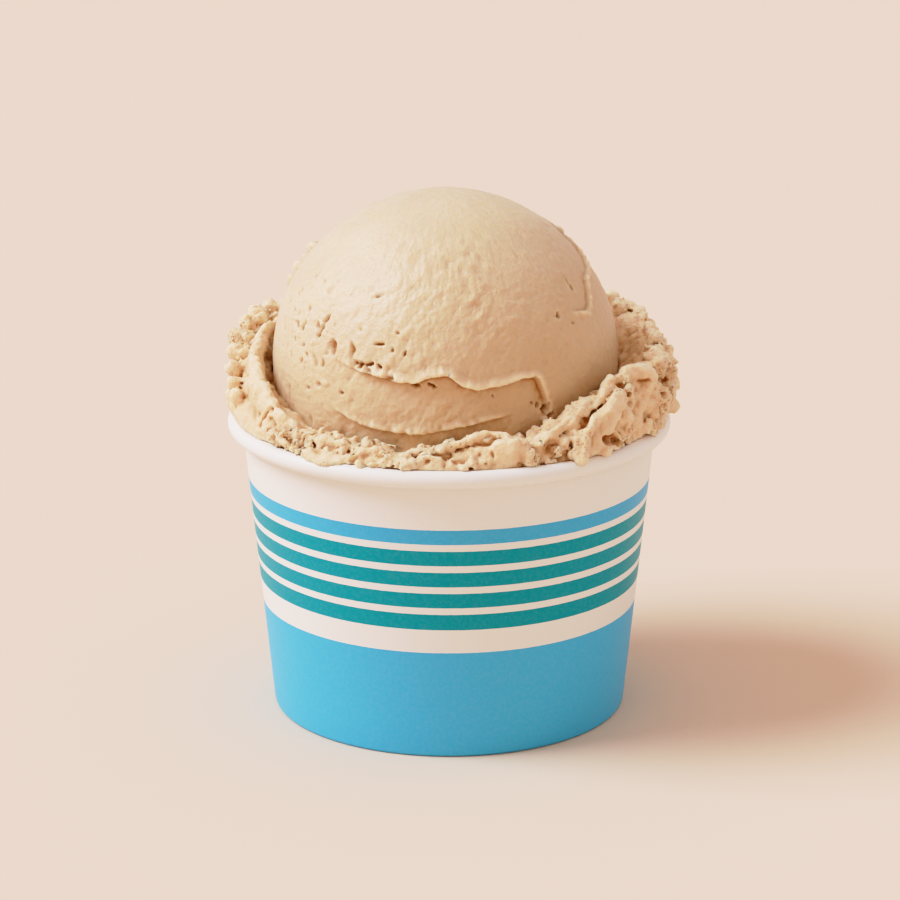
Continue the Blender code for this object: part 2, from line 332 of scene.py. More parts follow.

# %% [markdown]
# ## Pits
#
# Air pockets that the scoop cut open show as small dark holes. They are longer than wide and lie along
# the drag. Each is a dent with a torn outline, placed where one stands out, and written as
# (azimuth, latitude, length, width, depth, tilt) in degrees and millimetres. A few crumbs stand up
# beside them, written as pits of negative depth. On the left, and in one guessed patch behind, the skin
# is porous all over: there, the peaks of a fine noise are sunk into the ball. A porous patch is written
# as (strength, azimuth, its spread, latitude, its spread).

# %% Dents in the ball
PITS = [
    (171.5, 39.1, 1.3, 0.9, 0.9, 70), (174.1, 31.1, 1.6, 0.7, 0.9, 80), (189, 27.7, 1.0, 0.6, 0.7, 70),
    (201.4, 30.1, 0.8, 0.5, 0.4, 60), (202.3, 23.1, 1.0, 0.5, 0.5, 75), (208.5, 19.4, 1.3, 0.6, 0.8, -45),
    (212.6, 19.6, 1.5, 0.8, 1.0, 65), (223.3, 24.4, 1.2, 0.6, 1.2, 60), (222.6, 21.4, 1.3, 0.5, 1.1, 70),
    (221.7, 18.4, 1.0, 0.5, 1.0, 65), (215.1, 14.0, 0.7, 0.4, 0.5, 30), (217.8, 11.3, 0.8, 0.45, 0.7, -50),
    (215.4, 8.8, 1.0, 0.5, 0.6, 80), (226.1, 10.3, 1.1, 0.4, 0.9, 88), (219.6, 0.8, 0.8, 0.5, 0.5, 10),
    (224.6, 3.1, 0.9, 0.7, 0.5, 40), (234.6, 1.9, 0.6, 0.5, 0.8, 0), (239.5, 12.5, 0.5, 0.4, 0.5, 0),
    (241.2, 11.9, 0.8, 0.8, 1.3, 20), (244.6, 12.6, 1.5, 0.5, 1.2, 15), (252.1, 9.7, 1.5, 0.45, 1.1, -8),
    (247.3, 19.4, 1.3, 0.45, 0.9, 12), (243.1, 34.8, 1.2, 0.35, 0.4, 25), (253.6, 23.4, 0.6, 0.4, 0.4, 0),
    (252.5, 17.9, 0.5, 0.5, 0.5, 0), (256.7, 17.2, 0.6, 0.4, 0.6, 70), (260.5, 6.8, 1.3, 0.45, 0.9, -6),
    (265.6, 7.0, 1.2, 0.45, 0.9, -14), (328.9, 33.0, 0.9, 0.5, 1.1, 80), (328.6, 35.6, 1.2, 0.3, 0.35, 75),
    (314.7, 26.0, 1.0, 0.5, 1.4, 85), (320.9, 22.2, 0.5, 0.4, 0.4, 0), (307.7, 49.3, 0.5, 0.35, 0.35, 0),
    (305.0, -3.3, 1.3, 0.9, 1.4, 50), (302.3, -2.2, 0.8, 0.6, 0.9, 20), (306.3, -6.2, 1.4, 0.8, 1.3, 60),
    (300.2, -1.0, 0.5, 0.4, 0.6, 0), (286, 3.0, 0.4, 0.35, 0.35, 0), (244.4, 11.2, 1.3, 0.4, 1.0, -20),
    (248.4, 12.2, 0.9, 0.4, 1.0, -30),
    (50, 34, 1.4, 0.5, 0.9, 20), (53.5, 33, 0.8, 0.5, 0.6, 10), (57, 35, 0.9, 0.4, 0.5, 60),
    (75, 25.5, 1.6, 0.5, 1.0, 12), (79, 25, 0.9, 0.5, 0.7, -10), (93, 19.8, 1.3, 0.5, 0.9, -25),
    (110, 31, 0.6, 0.4, 0.4, 0), (126, 13, 1.2, 0.6, 0.9, 70), (129, 18, 0.8, 0.5, 0.6, 50),
    (132, 12, 0.7, 0.5, 0.5, 0), (40, 12, 1.1, 0.5, 0.6, 80), (47, 15, 0.5, 0.4, 0.4, 0),
]
CRUMBS_ON_BALL = [
    (167, 39, 2.0, 1.5, -1.0, 60), (170, 31.5, 1.9, 1.4, -1.0, 80), (172.5, 27, 1.5, 1.3, -0.8, 70),
    (169, 35, 1.1, 1.0, -0.5, 0), (205, 21, 1.0, 0.8, -0.3, 0), (211, 17, 1.3, 0.8, -0.35, 60),
    (220, 16, 1.2, 0.8, -0.3, 60), (243, 10.6, 1.6, 0.7, -0.35, 20), (306, -4.6, 1.0, 0.8, -0.5, 0),
    (304, -6.4, 1.2, 0.8, -0.5, 0), (228, 4, 1.2, 0.8, -0.25, 0), (16, 47, 1.6, 1.2, -0.5, 0),
]
POROUS_PATCHES = [(1.0, 215, 17, 16, 19), (0.6, 243, 16, 17, 8), (0.7, 128, 14, 20, 12)]
PORE_DEPTH = 0.9
PORE_SIZE = 1.45
DENT_REACH = 1.5
DENT_HALF = 0.6
DENT_EDGE, DENT_SLOPE = 1.3, 0.75
RAGGED, RAGGED_SIZE = 0.55, 0.6
POROUS_MEAN, POROUS_SWING, POROUS_SIZE = 0.5, 0.9, 5.0
PORE_SQUEEZE = [1.0, 1.0, 0.62]
PORE_FROM, PORE_SLOPE, PORE_GAIN = 0.36, 0.25, 1.6


def dent(relief, azimuth, latitude, long, wide, depth, tilt, seed):
    """Sink one pit into the relief. Tilt is the angle of its long side above the horizontal."""
    a, b, t = np.radians([azimuth, latitude, tilt])
    centre = ball_direction(a, b) * BALL_RADIUS
    near = np.flatnonzero(np.sum((surface - centre) ** 2, axis=1) < (long + DENT_REACH) ** 2)
    east = np.array([-math.sin(a), math.cos(a), 0.0])
    north = np.cross(centre / BALL_RADIUS, east)
    offset = surface[near] - centre
    x, y = offset @ east, offset @ north
    u = (x * math.cos(t) + y * math.sin(t)) / (DENT_HALF * long)
    v = (y * math.cos(t) - x * math.sin(t)) / (DENT_HALF * wide)
    ring = np.hypot(u, v) * (1 + RAGGED * noise(surface[near], RAGGED_SIZE, seed))
    relief[near] -= depth * eased(np.clip((DENT_EDGE - ring) / DENT_SLOPE, 0, 1))


pit_relief = np.zeros(len(surface))
for number, pit in enumerate(PITS + CRUMBS_ON_BALL):
    dent(pit_relief, *pit, seed=number)
turned_to = np.degrees(azimuth_grid.ravel())
raised_to = np.degrees(latitude_grid.ravel())
porous = sum(
    strength * np.exp(-((turned_to - azimuth) / wide) ** 2 - ((raised_to - latitude) / tall) ** 2)
    for strength, azimuth, wide, latitude, tall in POROUS_PATCHES
)
porous *= POROUS_MEAN + POROUS_SWING * noise(surface, POROUS_SIZE, 83)
pore = noise(surface * PORE_SQUEEZE, PORE_SIZE, 87)
opened = np.clip((pore - PORE_FROM) / PORE_SLOPE, 0, 1)
pit_relief -= PORE_DEPTH * opened * np.clip(porous * PORE_GAIN, 0, 1)
print("pits:", len(PITS), "deepest, mm:", round(float(-pit_relief.min()), 2))

# %% [markdown]
# ## Skin of the scoop
#
# Slow waves keep the ball from looking turned on a lathe. Over them lies the drag of the scoop: short
# wrinkles that lean up to the right, strongest left of the middle, and a fine orange-peel grain.
# All relief is summed along the outward direction, and the lips then shift sideways to overhang.

# %% Sum of the scoop's relief
DRAG = np.array([0.62, 0.0, 0.78])
WRINKLED_MEAN, WRINKLED_SWING, WRINKLED_SIZE, WRINKLED_RANGE = 0.75, 0.9, 8.0, (0.25, 1.3)
WRINKLED_ANYWHERE = 0.5
WRINKLE_STRETCH = 1.9
WRINKLED_AT, WRINKLED_SPREAD = 262.0, 38.0
SMOOTH_ABOVE, SMOOTH_OVER = 64.0, 12.0
WAVE_HEIGHT, WAVE_SIZE = 0.3, 16.0
WRINKLE_HEIGHT, WRINKLE_SIZE = 0.17, 1.7
GRAIN_HEIGHT, GRAIN_SIZE = 0.07, 0.9

squeezed = surface + (surface @ DRAG)[:, None] * DRAG * (1 / WRINKLE_STRETCH - 1)
middle = np.exp(-((turned_to - WRINKLED_AT) / WRINKLED_SPREAD) ** 2)
middle *= np.clip((SMOOTH_ABOVE - raised_to) / SMOOTH_OVER, 0, 1)
wrinkled = WRINKLED_MEAN + WRINKLED_SWING * noise(surface, WRINKLED_SIZE, 35)
wrinkled = np.clip(wrinkled, *WRINKLED_RANGE) * (WRINKLED_ANYWHERE + middle)
wrinkles = WRINKLE_HEIGHT * layered(squeezed, WRINKLE_SIZE, 3, 31) * wrinkled
waves = WAVE_HEIGHT * layered(surface, WAVE_SIZE, 2, 23)
grain = GRAIN_HEIGHT * layered(surface, GRAIN_SIZE, 2, 41)
relief = waves + wrinkles + grain + pit_relief + sum(ledge_reliefs)
scoop = BALL_CENTRE + surface + outward * relief[:, None] + sum(ledge_shifts)
print("relief of the scoop, mm:", round(float(relief.min()), 2), "to", round(float(relief.max()), 2))

# %% [markdown]
# ## Fill inside the cup
#
# Below the collar the gelato reaches out to the paper and down to the base. Nothing of this shows, so
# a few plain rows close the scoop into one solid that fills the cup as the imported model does.

# %% Close the scoop down to the base
FILL_HEIGHTS = (48.4, 30.0)


def wall_inside(height):
    """Radius of the fill, which keeps a small gap from the paper."""
    return FOOT_RADIUS + WALL_FLARE * height - PAPER - GAP


def ring(radius, height):
    """One row of the fill, with the scoop's own columns."""
    flat = np.stack([radius * np.cos(columns), radius * np.sin(columns)], axis=1)
    return np.column_stack([flat, np.full(SCOOP_COLUMNS, height)])


def grid_faces(row_count, column_count):
    """Quads between neighbouring rows of points, round the whole turn."""
    start = np.arange(row_count - 1)[:, None] * column_count + np.arange(column_count)
    beside = np.arange(row_count - 1)[:, None] * column_count + (np.arange(column_count) + 1) % column_count
    return np.stack([start, start + column_count, beside + column_count, beside], axis=-1).reshape(-1, 4)


def fan(centre, first, column_count, upward):
    """Triangles from one point to a closed row of points."""
    here = first + np.arange(column_count)
    beside = first + (np.arange(column_count) + 1) % column_count
    pair = [here, beside] if upward else [beside, here]
    return np.column_stack([np.full(column_count, centre), *pair])


def build_scoop():
    """The ball with its relief on top, and the fill below it down to the cup's base."""
    bottom = RECESS + PAPER / 2 + GAP
    fill = [ring(wall_inside(height), height) for height in (*FILL_HEIGHTS, bottom)]
    points = np.concatenate([scoop, *fill])
    row_count = len(rows) + len(fill)
    summit = scoop[:SCOOP_COLUMNS].mean(axis=0)
    top, low = len(points), len(points) + 1
    points = np.concatenate([points, [summit, [0.0, 0.0, bottom]]])
    faces = grid_faces(row_count, SCOOP_COLUMNS).tolist()
    faces += fan(top, 0, SCOOP_COLUMNS, True).tolist()
    faces += fan(low, (row_count - 1) * SCOOP_COLUMNS, SCOOP_COLUMNS, False).tolist()
    return add_mesh("gelato_scoop", points, faces)


scoop_piece = build_scoop()
declare(scoop_piece, "gelato")

# %% [markdown]
# ## The collar's outline
#
# Round the ball stands the gelato that the scoop squeezed up. Cut through at any angle, it is a ridge
# on the rim: from the groove beside the ball up to a crest, over an outer bulge, and down to its toe on
# the rolled rim. It stands tall behind and at the sides and is a low crumbling lip in front. Tables by
# angle hold what was measured, in millimetres, and are eased between their entries.

# %% Tables and outline of the collar
CREST_ABOVE_RIM = [
    (0, 12.2), (20, 13.2), (40, 13.4), (58, 12.2), (70, 10.4), (84, 12.6), (98, 10.8), (112, 12.4),
    (126, 10.6), (142, 12.6), (155, 12.3), (168, 11.2), (180, 9.8), (195, 7.6), (210, 5.2), (226, 2.6),
    (240, 1.7), (256, 1.4), (265, 2.0), (273, 2.8), (279, 3.9), (285, 4.2), (291, 2.9), (302, 3.6),
    (314, 6.0), (326, 9.4), (340, 11.4),
]
CREST_RADIUS = [
    (0, 34.6), (45, 34.6), (90, 34.2), (150, 34.4), (180, 34.2), (210, 33.0), (230, 31.6), (250, 31.0),
    (270, 31.0), (290, 31.4), (310, 32.6), (330, 34.0),
]
BULGE_RADIUS = [
    (0, 36.6), (30, 36.3), (60, 36.0), (90, 35.8), (130, 35.8), (160, 35.8), (180, 35.5), (196, 35.6),
    (210, 35.8), (232, 35.4), (250, 34.8), (270, 34.2), (290, 34.4), (308, 35.4), (330, 36.2),
    (350, 36.6),
]
TOE_RADIUS = [
    (0, 36.8), (30, 36.5), (90, 36.2), (150, 36.3), (190, 36.4), (208, 35.8), (218, 35.4), (229, 35.8),
    (236, 36.6), (244, 36.0), (258, 35.7), (270, 35.4), (283, 35.0), (296, 34.8), (304, 35.2), (310, 36.4),
    (317, 36.0), (340, 36.1),
]
CREASE_DEPTH = [
    (0, 5.5), (40, 5.0), (90, 4.0), (150, 4.0), (180, 3.4), (210, 1.6), (240, 0.9), (270, 1.0),
    (300, 1.2), (320, 2.6), (340, 4.8),
]
TOE_REACH = 1.2
SECTION_STEPS = 4


def around(table, degrees):
    """Value at an angle, from a table that closes on itself."""
    angles = [angle for angle, _ in table] + [table[0][0] + 360]
    values = [value for _, value in table] + [table[0][1]]
    degrees = degrees % 360
    after = min(int(np.searchsorted(angles, degrees, side="right")), len(angles) - 1)
    share = eased((degrees - angles[after - 1]) / (angles[after] - angles[after - 1]))
    return values[after - 1] + (values[after] - values[after - 1]) * share


def ball_reach(azimuth, height):
    """Distance from the cup's axis to the ball's surface at a height."""
    flat = math.sqrt(BALL_RADIUS**2 - (height - BALL_CENTRE[2]) ** 2)
    return flat + BALL_CENTRE[0] * math.cos(math.radians(azimuth))


def smooth_path(points, count):
    """A curve through the points, with a number of steps between each pair."""
    points = np.asarray(points, float)
    padded = np.concatenate([points[:1], points, points[-1:]])
    share = np.linspace(0, 1, count, endpoint=False)[:, None]
    path = []
    for a, b, c, d in zip(padded, padded[1:], padded[2:], padded[3:]):
        bend = (2 * a - 5 * b + 4 * c - d) * share**2 + (3 * b - a - 3 * c + d) * share**3
        path.append(b + 0.5 * ((c - a) * share + bend))
    return np.concatenate([*path, points[-1:]])


def collar_outline(azimuth):
    """The ridge's section as (radius, height) points, from the groove at the ball to the toe."""
    crest = RIM_TOP + around(CREST_ABOVE_RIM, azimuth)
    stand = crest - RIM_TOP
    crest_radius, bulge = around(CREST_RADIUS, azimuth), around(BULGE_RADIUS, azimuth)
    toe = around(TOE_RADIUS, azimuth)
    groove = crest - around(CREASE_DEPTH, azimuth)
    start = ball_reach(azimuth, groove)
    rise = crest - groove
    toe_height = CURL_HEIGHT + math.sqrt(CURL_RADIUS**2 - min(abs(toe - CURL_AXIS), TOE_REACH) ** 2)
    return smooth_path([
        (start, groove),
        (start + 0.35 * (crest_radius - start), groove + 0.45 * rise),
        (crest_radius - 0.3 * (bulge - crest_radius), crest - 0.08 * rise),
        (crest_radius + 0.4 * (bulge - crest_radius), crest - 0.12 * stand),
        (bulge, RIM_TOP + 0.55 * stand),
        (0.5 * (bulge + toe), RIM_TOP + 0.25 * stand),
        (toe, toe_height),
    ], SECTION_STEPS)


crest_heights = [height for _, height in CREST_ABOVE_RIM]
print("collar stands, mm:", min(crest_heights), "to", max(crest_heights), "above the rim")

# %% [markdown]
# ## A field to sculpt in
#
# Torn gelato has overhangs, holes and crumbs that no single height map holds. So the collar is kept as
# a distance field: a grid round the cup in which each cell knows how far it lies from the surface,
# negative inside. Lumps are added and holes cut by blending distances, which is how soft stuff joins.
# The grid's three directions are round the cup, outwards and upwards.

# %% Distance field of the plain ridge
STEP = 0.3
COLLAR_COLUMNS = 752
COARSE = 4
COLUMN_ANGLE = 360 / COLLAR_COLUMNS
FIELD_INNER, FIELD_OUTER = 24.6, 40.4
FIELD_LOW, FIELD_HIGH = 47.4, 71.4
INTO_THE_BALL = (-1.2, 0.2)
ON_THE_RIM = [(34.0, 49.2), (32.6, 49.0)]
CORE_DEPTH, OPEN_DISTANCE = 0.6, 2.6
TINY = 1e-9

field_radii = np.arange(FIELD_INNER, FIELD_OUTER, STEP, dtype=np.float32)
field_heights = np.arange(FIELD_LOW, FIELD_HIGH, STEP, dtype=np.float32)


def ridge_distance(azimuth):
    """Signed distance to the closed section of the ridge at one angle."""
    outline = collar_outline(azimuth)
    inner = outline[0] + INTO_THE_BALL
    section = np.concatenate([[inner], outline, ON_THE_RIM]).astype(np.float32)
    r, z = np.meshgrid(field_radii, field_heights, indexing="ij")
    nearest = np.full(r.shape, np.inf, np.float32)
    inside = np.zeros(r.shape, bool)
    for (r0, z0), (r1, z1) in zip(section, np.roll(section, -1, axis=0)):
        step_r, step_z = r1 - r0, z1 - z0
        share = ((r - r0) * step_r + (z - z0) * step_z) / (step_r**2 + step_z**2 + TINY)
        share = np.clip(share, 0, 1)
        nearest = np.minimum(nearest, np.hypot(r - r0 - share * step_r, z - z0 - share * step_z))
        crosses = (z0 > z) != (z1 > z)
        inside ^= crosses & (r < r0 + (z - z0) * step_r / (step_z if step_z else TINY))
    return np.where(inside, -nearest, nearest)


coarse = np.stack([ridge_distance(i * COARSE * COLUMN_ANGLE) for i in range(COLLAR_COLUMNS // COARSE)])
following = np.roll(coarse, -1, axis=0)
shares = np.arange(COARSE, dtype=np.float32)[None, :, None, None] / COARSE
field = coarse[:, None] * (1 - shares) + following[:, None] * shares
field = field.reshape(COLLAR_COLUMNS, *coarse.shape[1:])
core, open_air = field < -CORE_DEPTH, field > OPEN_DISTANCE
print("field:", field.shape, "cells of", STEP, "mm")

# %% [markdown]
# ## Lumps, strokes and holes
#
# Four tools sculpt the field. A dab joins one rounded lump or cuts one out. A stroke sweeps a lump
# along a path, for the folds and ridges that the scoop dragged, or cuts a crevice. Tear breaks the
# surface into lumps with creases between them, the look of gelato that tore instead of sliding. It
# works in patches, its strength by angle is in a table, and it spares some faces that slid smoothly.
# Roughen adds plain uneven relief. A place is (azimuth, radius, height) in degrees and millimetres, and
# a smooth face is a place and its reach.

# %% Sculpting tools
TORN = [
    (0, 0.9), (20, 0.7), (50, 0.7), (70, 1.1), (150, 1.0), (172, 0.9), (190, 0.8), (200, 0.5),
    (212, 0.6), (222, 1.1), (255, 1.1), (276, 0.9), (286, 0.9), (292, 1.25), (335, 1.3), (350, 1.0),
]
SMOOTH_FACES = [
    (315.5, 37.0, 55.6, 4.2), (311.0, 36.8, 53.2, 2.6), (320.5, 36.4, 58.4, 2.4), (286.5, 35.4, 53.6, 3.2),
    (305.4, 36.8, 51.6, 2.2), (234.0, 36.2, 51.2, 2.6), (240.0, 36.2, 51.2, 2.2), (332.0, 34.6, 62.6, 2.6),
    (336.5, 36.2, 61.6, 2.0), (197.0, 35.8, 52.6, 3.4), (204.0, 35.8, 52.4, 3.0),
]
PATH_STEPS = 9
HIDDEN_DEPTH = 0.6
PATCH_MEAN, PATCH_SWING, PATCH_RANGE = 0.8, 1.3, (0.25, 1.4)
PATCH_SIZE, PATCH_SEED = 5.0, 91
DEGREE_LENGTH = 0.6
SIZE_WAVE, SHIFT_WAVE, SHIFT = 1.3, 2.1, 0.7
VALLEY, FINER = 0.3, 1.6
BEND, BEND_SEEDS = 0.45, (201, 202, 203)
ROUGHEN_REACH, TEAR_REACH = 1.6, 2.2


def blended(a, b, width):
    """The smaller of two distances, rounded where they are nearly equal."""
    mix = np.clip(0.5 + 0.5 * (a - b) / width, 0, 1)
    return a + (b - a) * mix - width * mix * (1 - mix)


def window(azimuths, radii, heights, reach):
    """Indexes of the part of the field that lies within reach of some places."""
    spare = reach / (min(radii) * math.radians(COLUMN_ANGLE))
    first, last = min(azimuths) / COLUMN_ANGLE - spare, max(azimuths) / COLUMN_ANGLE + spare
    i = np.arange(int(first), int(last) + 2)
    j = np.flatnonzero((field_radii > min(radii) - reach) & (field_radii < max(radii) + reach))
    k = np.flatnonzero((field_heights > min(heights) - reach) & (field_heights < max(heights) + reach))
    return i, j, k


def lump_distance(i, j, k, azimuth, radius, height, size, stretch, tilt):
    """Distance to one lump. Its stretch is outwards, along its tilted length, and across that."""
    x = (field_radii[j] - radius)[None, :, None] / stretch[0]
    y = (np.radians(i * COLUMN_ANGLE - azimuth) * radius).astype(np.float32)[:, None, None]
    z = (field_heights[k] - height)[None, None, :]
    c, s = math.cos(math.radians(tilt)), math.sin(math.radians(tilt))
    along, across = (y * c + z * s) / stretch[1], (z * c - y * s) / stretch[2]
    return (np.sqrt(x * x + along * along + across * across) - size) * min(stretch)


def put(i, j, k, lump, blend, cut):
    """Join a lump to the field, or cut it out."""
    here = np.ix_(i % COLLAR_COLUMNS, j, k)
    field[here] = -blended(-field[here], lump, blend) if cut else blended(field[here], lump, blend)


def dab(azimuth, radius, height, size, stretch=(1, 1, 1), tilt=0.0, blend=0.4, cut=False):
    """One rounded lump, joined or cut."""
    i, j, k = window([azimuth], [radius], [height], size * max(stretch) + blend + STEP)
    put(i, j, k, lump_distance(i, j, k, azimuth, radius, height, size, stretch, tilt), blend, cut)


def stroke(places, blend=0.7, wobble=0.12, section=(1, 1, 1), cut=False, seed=0):
    """A lump swept along a path of (azimuth, radius, height, size). Wobble makes its course uneven."""
    path = smooth_path(places, PATH_STEPS)
    course = path[:, :3] * [DEGREE_LENGTH, 1, 1]
    sizes = path[:, 3] * (1 + wobble * noise(course, SIZE_WAVE, seed))
    path[:, 1] += SHIFT * wobble * noise(course, SHIFT_WAVE, seed + 1)
    path[:, 2] += SHIFT * wobble * noise(course, SHIFT_WAVE, seed + 2)
    i, j, k = window(path[:, 0], path[:, 1], path[:, 2], max(sizes) * max(section) + blend + STEP)
    lump = np.full((len(i), len(j), len(k)), np.inf, np.float32)
    for (azimuth, radius, height, _), size in zip(path, sizes):
        lump = np.minimum(lump, lump_distance(i, j, k, azimuth, radius, height, size, section, 0))
    put(i, j, k, lump, blend, cut)


def field_points(near):
    """Places in space, in millimetres, of some cells of the field."""
    i, j, k = near
    angle = np.radians(i * COLUMN_ANGLE)
    radius = field_radii[j]
    return np.column_stack([radius * np.cos(angle), radius * np.sin(angle), field_heights[k]])


def showing(places):
    """1 outside the ball and 0 inside it, where the collar is hidden and stays plain."""
    return np.clip(np.linalg.norm(places - BALL_CENTRE, axis=1) - BALL_RADIUS + HIDDEN_DEPTH, 0, 1)


def off_smooth_faces(places):
    """0 on the smooth faces, and 1 away from them."""
    share = np.ones(len(places))
    for azimuth, radius, height, reach in SMOOTH_FACES:
        turned_by = math.radians(azimuth)
        centre = [radius * math.cos(turned_by), radius * math.sin(turned_by), height]
        distance = np.linalg.norm(places - centre, axis=1)
        share = np.minimum(share, np.clip(2 * distance / reach - 1, 0, 1))
    return share


def patches(places, azimuths):
    """How broken the gelato is at some places: by angle, and in patches a few millimetres across."""
    strength = np.interp(azimuths, *zip(*TORN), period=360)
    patchy = np.clip(PATCH_MEAN + PATCH_SWING * noise(places, PATCH_SIZE, PATCH_SEED), *PATCH_RANGE)
    return strength * patchy * off_smooth_faces(places)


def bent(places, size, seed):
    """Places shifted by noise, so that what is drawn from them loses its regular look."""
    return places + BEND * size * np.stack([noise(places, size, seed + n) for n in BEND_SEEDS], axis=1)


def roughen(height, size, layers, seed):
    """Shift the surface in and out by layered noise."""
    near = np.nonzero(np.abs(field) < ROUGHEN_REACH)
    places = field_points(near)
    field[near] += (height * showing(places) * layered(places, size, layers, seed)).astype(np.float32)


def tear(height, size, layers, crease, seed):
    """Break the surface up. Crease is the share of sharp valleys, and the rest is plain uneven relief."""
    near = np.nonzero(np.abs(field) < TEAR_REACH)
    places = field_points(near)
    strength = patches(places, near[0] * COLUMN_ANGLE) * showing(places)
    places = bent(places, size, seed)
    valleys = sum((VALLEY - np.abs(noise(places, size / 2**n, seed + n))) / FINER**n for n in range(layers))
    uneven = layered(places, size, layers, seed + 40)
    field[near] += (height * strength * (crease * valleys + (1 - crease) * uneven)).astype(np.float32)


# %% [markdown]
# ## Ridges
#
# The drag of the scoop left ridges that run with the rim and climb beside the ball on the right, where
# a porous block hangs outside them. They are laid down first and then torn, a crevice is cut along the
# climbing ridges, and they are torn again more finely. In the tables a stroke is (seed, blend, wobble,
# path), and its path is (azimuth, radius, height, half thickness), in degrees and millimetres. A dab is
# (azimuth, radius, height, size, stretch, tilt, blend).

# %% Lay down the ridges and tear them
RIDGES = [
    (1, 1.0, 0.8, [(331.5, 33.8, 61.8, 0.9), (326, 33.2, 61.8, 1.1), (320.5, 32.7, 60.6, 1.2),
                   (315, 32.3, 59.2, 1.2), (309, 31.8, 57.7, 1.1), (303, 31.4, 56.4, 1.0),
                   (297.5, 31.2, 55.2, 0.8), (292.5, 31.4, 54.0, 0.7)]),
    (2, 0.8, 0.8, [(318, 33.8, 60.2, 0.8), (311, 33.6, 58.2, 0.9), (304, 33.2, 56.4, 0.9),
                   (298.5, 33.4, 54.6, 1.0), (295, 33.8, 53.2, 0.9)]),
    (4, 0.9, 0.7, [(224, 33.2, 53.8, 0.9), (234, 33.0, 53.2, 0.8), (243, 32.8, 52.9, 0.8),
                   (252, 32.8, 52.9, 0.7), (259, 33.0, 52.7, 0.6)]),
    (6, 0.9, 0.7, [(238, 35.0, 51.9, 0.7), (248, 34.8, 51.8, 0.8), (258, 34.6, 51.7, 0.7),
                   (270, 34.4, 51.8, 0.8), (279, 34.2, 52.0, 0.8)]),
]
HANGING_BLOCK = [
    (338, 35.6, 58.0, 2.7, (0.9, 1.2, 1.1), 10, 0.9), (344, 35.8, 56.0, 2.3, (0.9, 1.1, 1.1), 0, 0.9),
    (341, 35.0, 61.2, 1.8, (1, 1, 1), 0, 0.8),
]
BACK_RIDGES = [
    (17, 1.2, 0.7, [(50, 33.6, 60.6, 1.4), (64, 34.4, 59.6, 1.6), (78, 35.0, 57.6, 1.5),
                    (90, 35.2, 55.2, 1.2)]),
    (18, 1.2, 0.7, [(96, 33.6, 60.8, 1.4), (108, 34.4, 58.8, 1.6), (122, 35.2, 56.4, 1.5),
                    (134, 35.6, 54.2, 1.2)]),
]
LONG_CREVICE = [
    (12, 0.5, 0.8, [(331, 35.2, 59.6, 0.8), (321, 35.4, 60.6, 0.8), (313, 35.2, 59.4, 0.8),
                    (307, 35.2, 57.6, 0.7), (303.4, 35.6, 55.6, 0.7), (302.6, 36.2, 53.0, 0.8)]),
]


def lay_strokes(strokes, section=(1, 1, 1), cut=False):
    """Lay down or cut the strokes of a table."""
    for seed, blend, wobble, path in strokes:
        stroke(path, blend, wobble, section, cut, seed)


def lay_dabs(lumps):
    """Lay down the lumps of a table."""
    for lump in lumps:
        dab(*lump)


lay_strokes(RIDGES)
lay_dabs(HANGING_BLOCK)
lay_strokes(BACK_RIDGES)
tear(1.4, 5.0, 2, crease=0.7, seed=51)
lay_strokes(LONG_CREVICE, cut=True)
tear(1.1, 2.6, 2, crease=0.6, seed=53)
print("cells inside the collar:", int((field < 0).sum()))

# %% [markdown]
# ## Torn crumbs
#
# Where gelato tears it breaks into rounded crumbs of one to three millimetres that cling together like
# a cauliflower. They sit thick along the crest where the collar is tall, and are much finer in front
# where it is low. Each stretch of the collar has its own number and size of crumbs, written as (first
# and last azimuth, number, smallest and largest radius, lowest and highest share of the way from the
# groove at the ball to the toe). The large single lumps that break its outline are listed one by one.

# %% Scatter the crumbs
CRUMBS = [
    (336, 400, 240, 0.5, 1.5, 0.36, 0.95),
    (400, 500, 260, 0.5, 1.9, 0.3, 0.95),
    (140, 178, 190, 0.45, 1.2, 0.3, 0.9),
    (174, 200, 110, 0.4, 1.0, 0.5, 0.9),
    (213, 232, 50, 0.4, 0.8, 0.35, 0.95),
    (228, 280, 200, 0.4, 1.0, 0.15, 0.98),
    (290, 308, 110, 0.4, 1.0, 0.15, 0.95),
    (304, 338, 230, 0.4, 1.1, 0.1, 0.95),
]
LUMPS = [
    (41, 34.6, 64.2, 1.5), (37, 35.2, 64.8, 1.4), (30, 35.6, 63.6, 1.9), (26, 36.5, 63.8, 1.3),
    (20, 36.7, 62.5, 1.1), (14, 36.9, 60.4, 1.1), (8, 37.0, 59.4, 1.2), (2, 37.2, 57.8, 1.2),
    (356, 37.4, 57.0, 1.1), (350, 37.0, 59.6, 1.4), (346, 36.6, 61.4, 1.2), (186, 36.4, 59.4, 1.2),
    (190, 36.5, 57.4, 1.4), (146, 34.4, 64.4, 1.4), (152, 35.0, 64.4, 1.5), (158, 35.4, 64.2, 1.6),
    (164, 35.8, 63.4, 1.6), (170, 36.1, 62.0, 1.6), (176, 36.3, 60.8, 1.4), (150, 33.0, 64.6, 1.2),
    (162, 33.8, 64.2, 1.3), (194, 36.2, 56.0, 1.4), (188, 36.3, 55.2, 1.2), (56, 35.2, 61.8, 1.7),
    (84, 34.8, 61.8, 1.8), (92, 35.4, 58.0, 1.4), (112, 34.9, 61.4, 1.7), (136, 35.2, 60.6, 1.5),
]
MOSTLY_SMALL = 2.5
CRUMB_LIFTS = (0.0, 0.7)
TORN_ENOUGH = 0.5
CRUMB_STRETCH, LUMP_STRETCH = (0.7, 1.3), (0.9, 1.15)


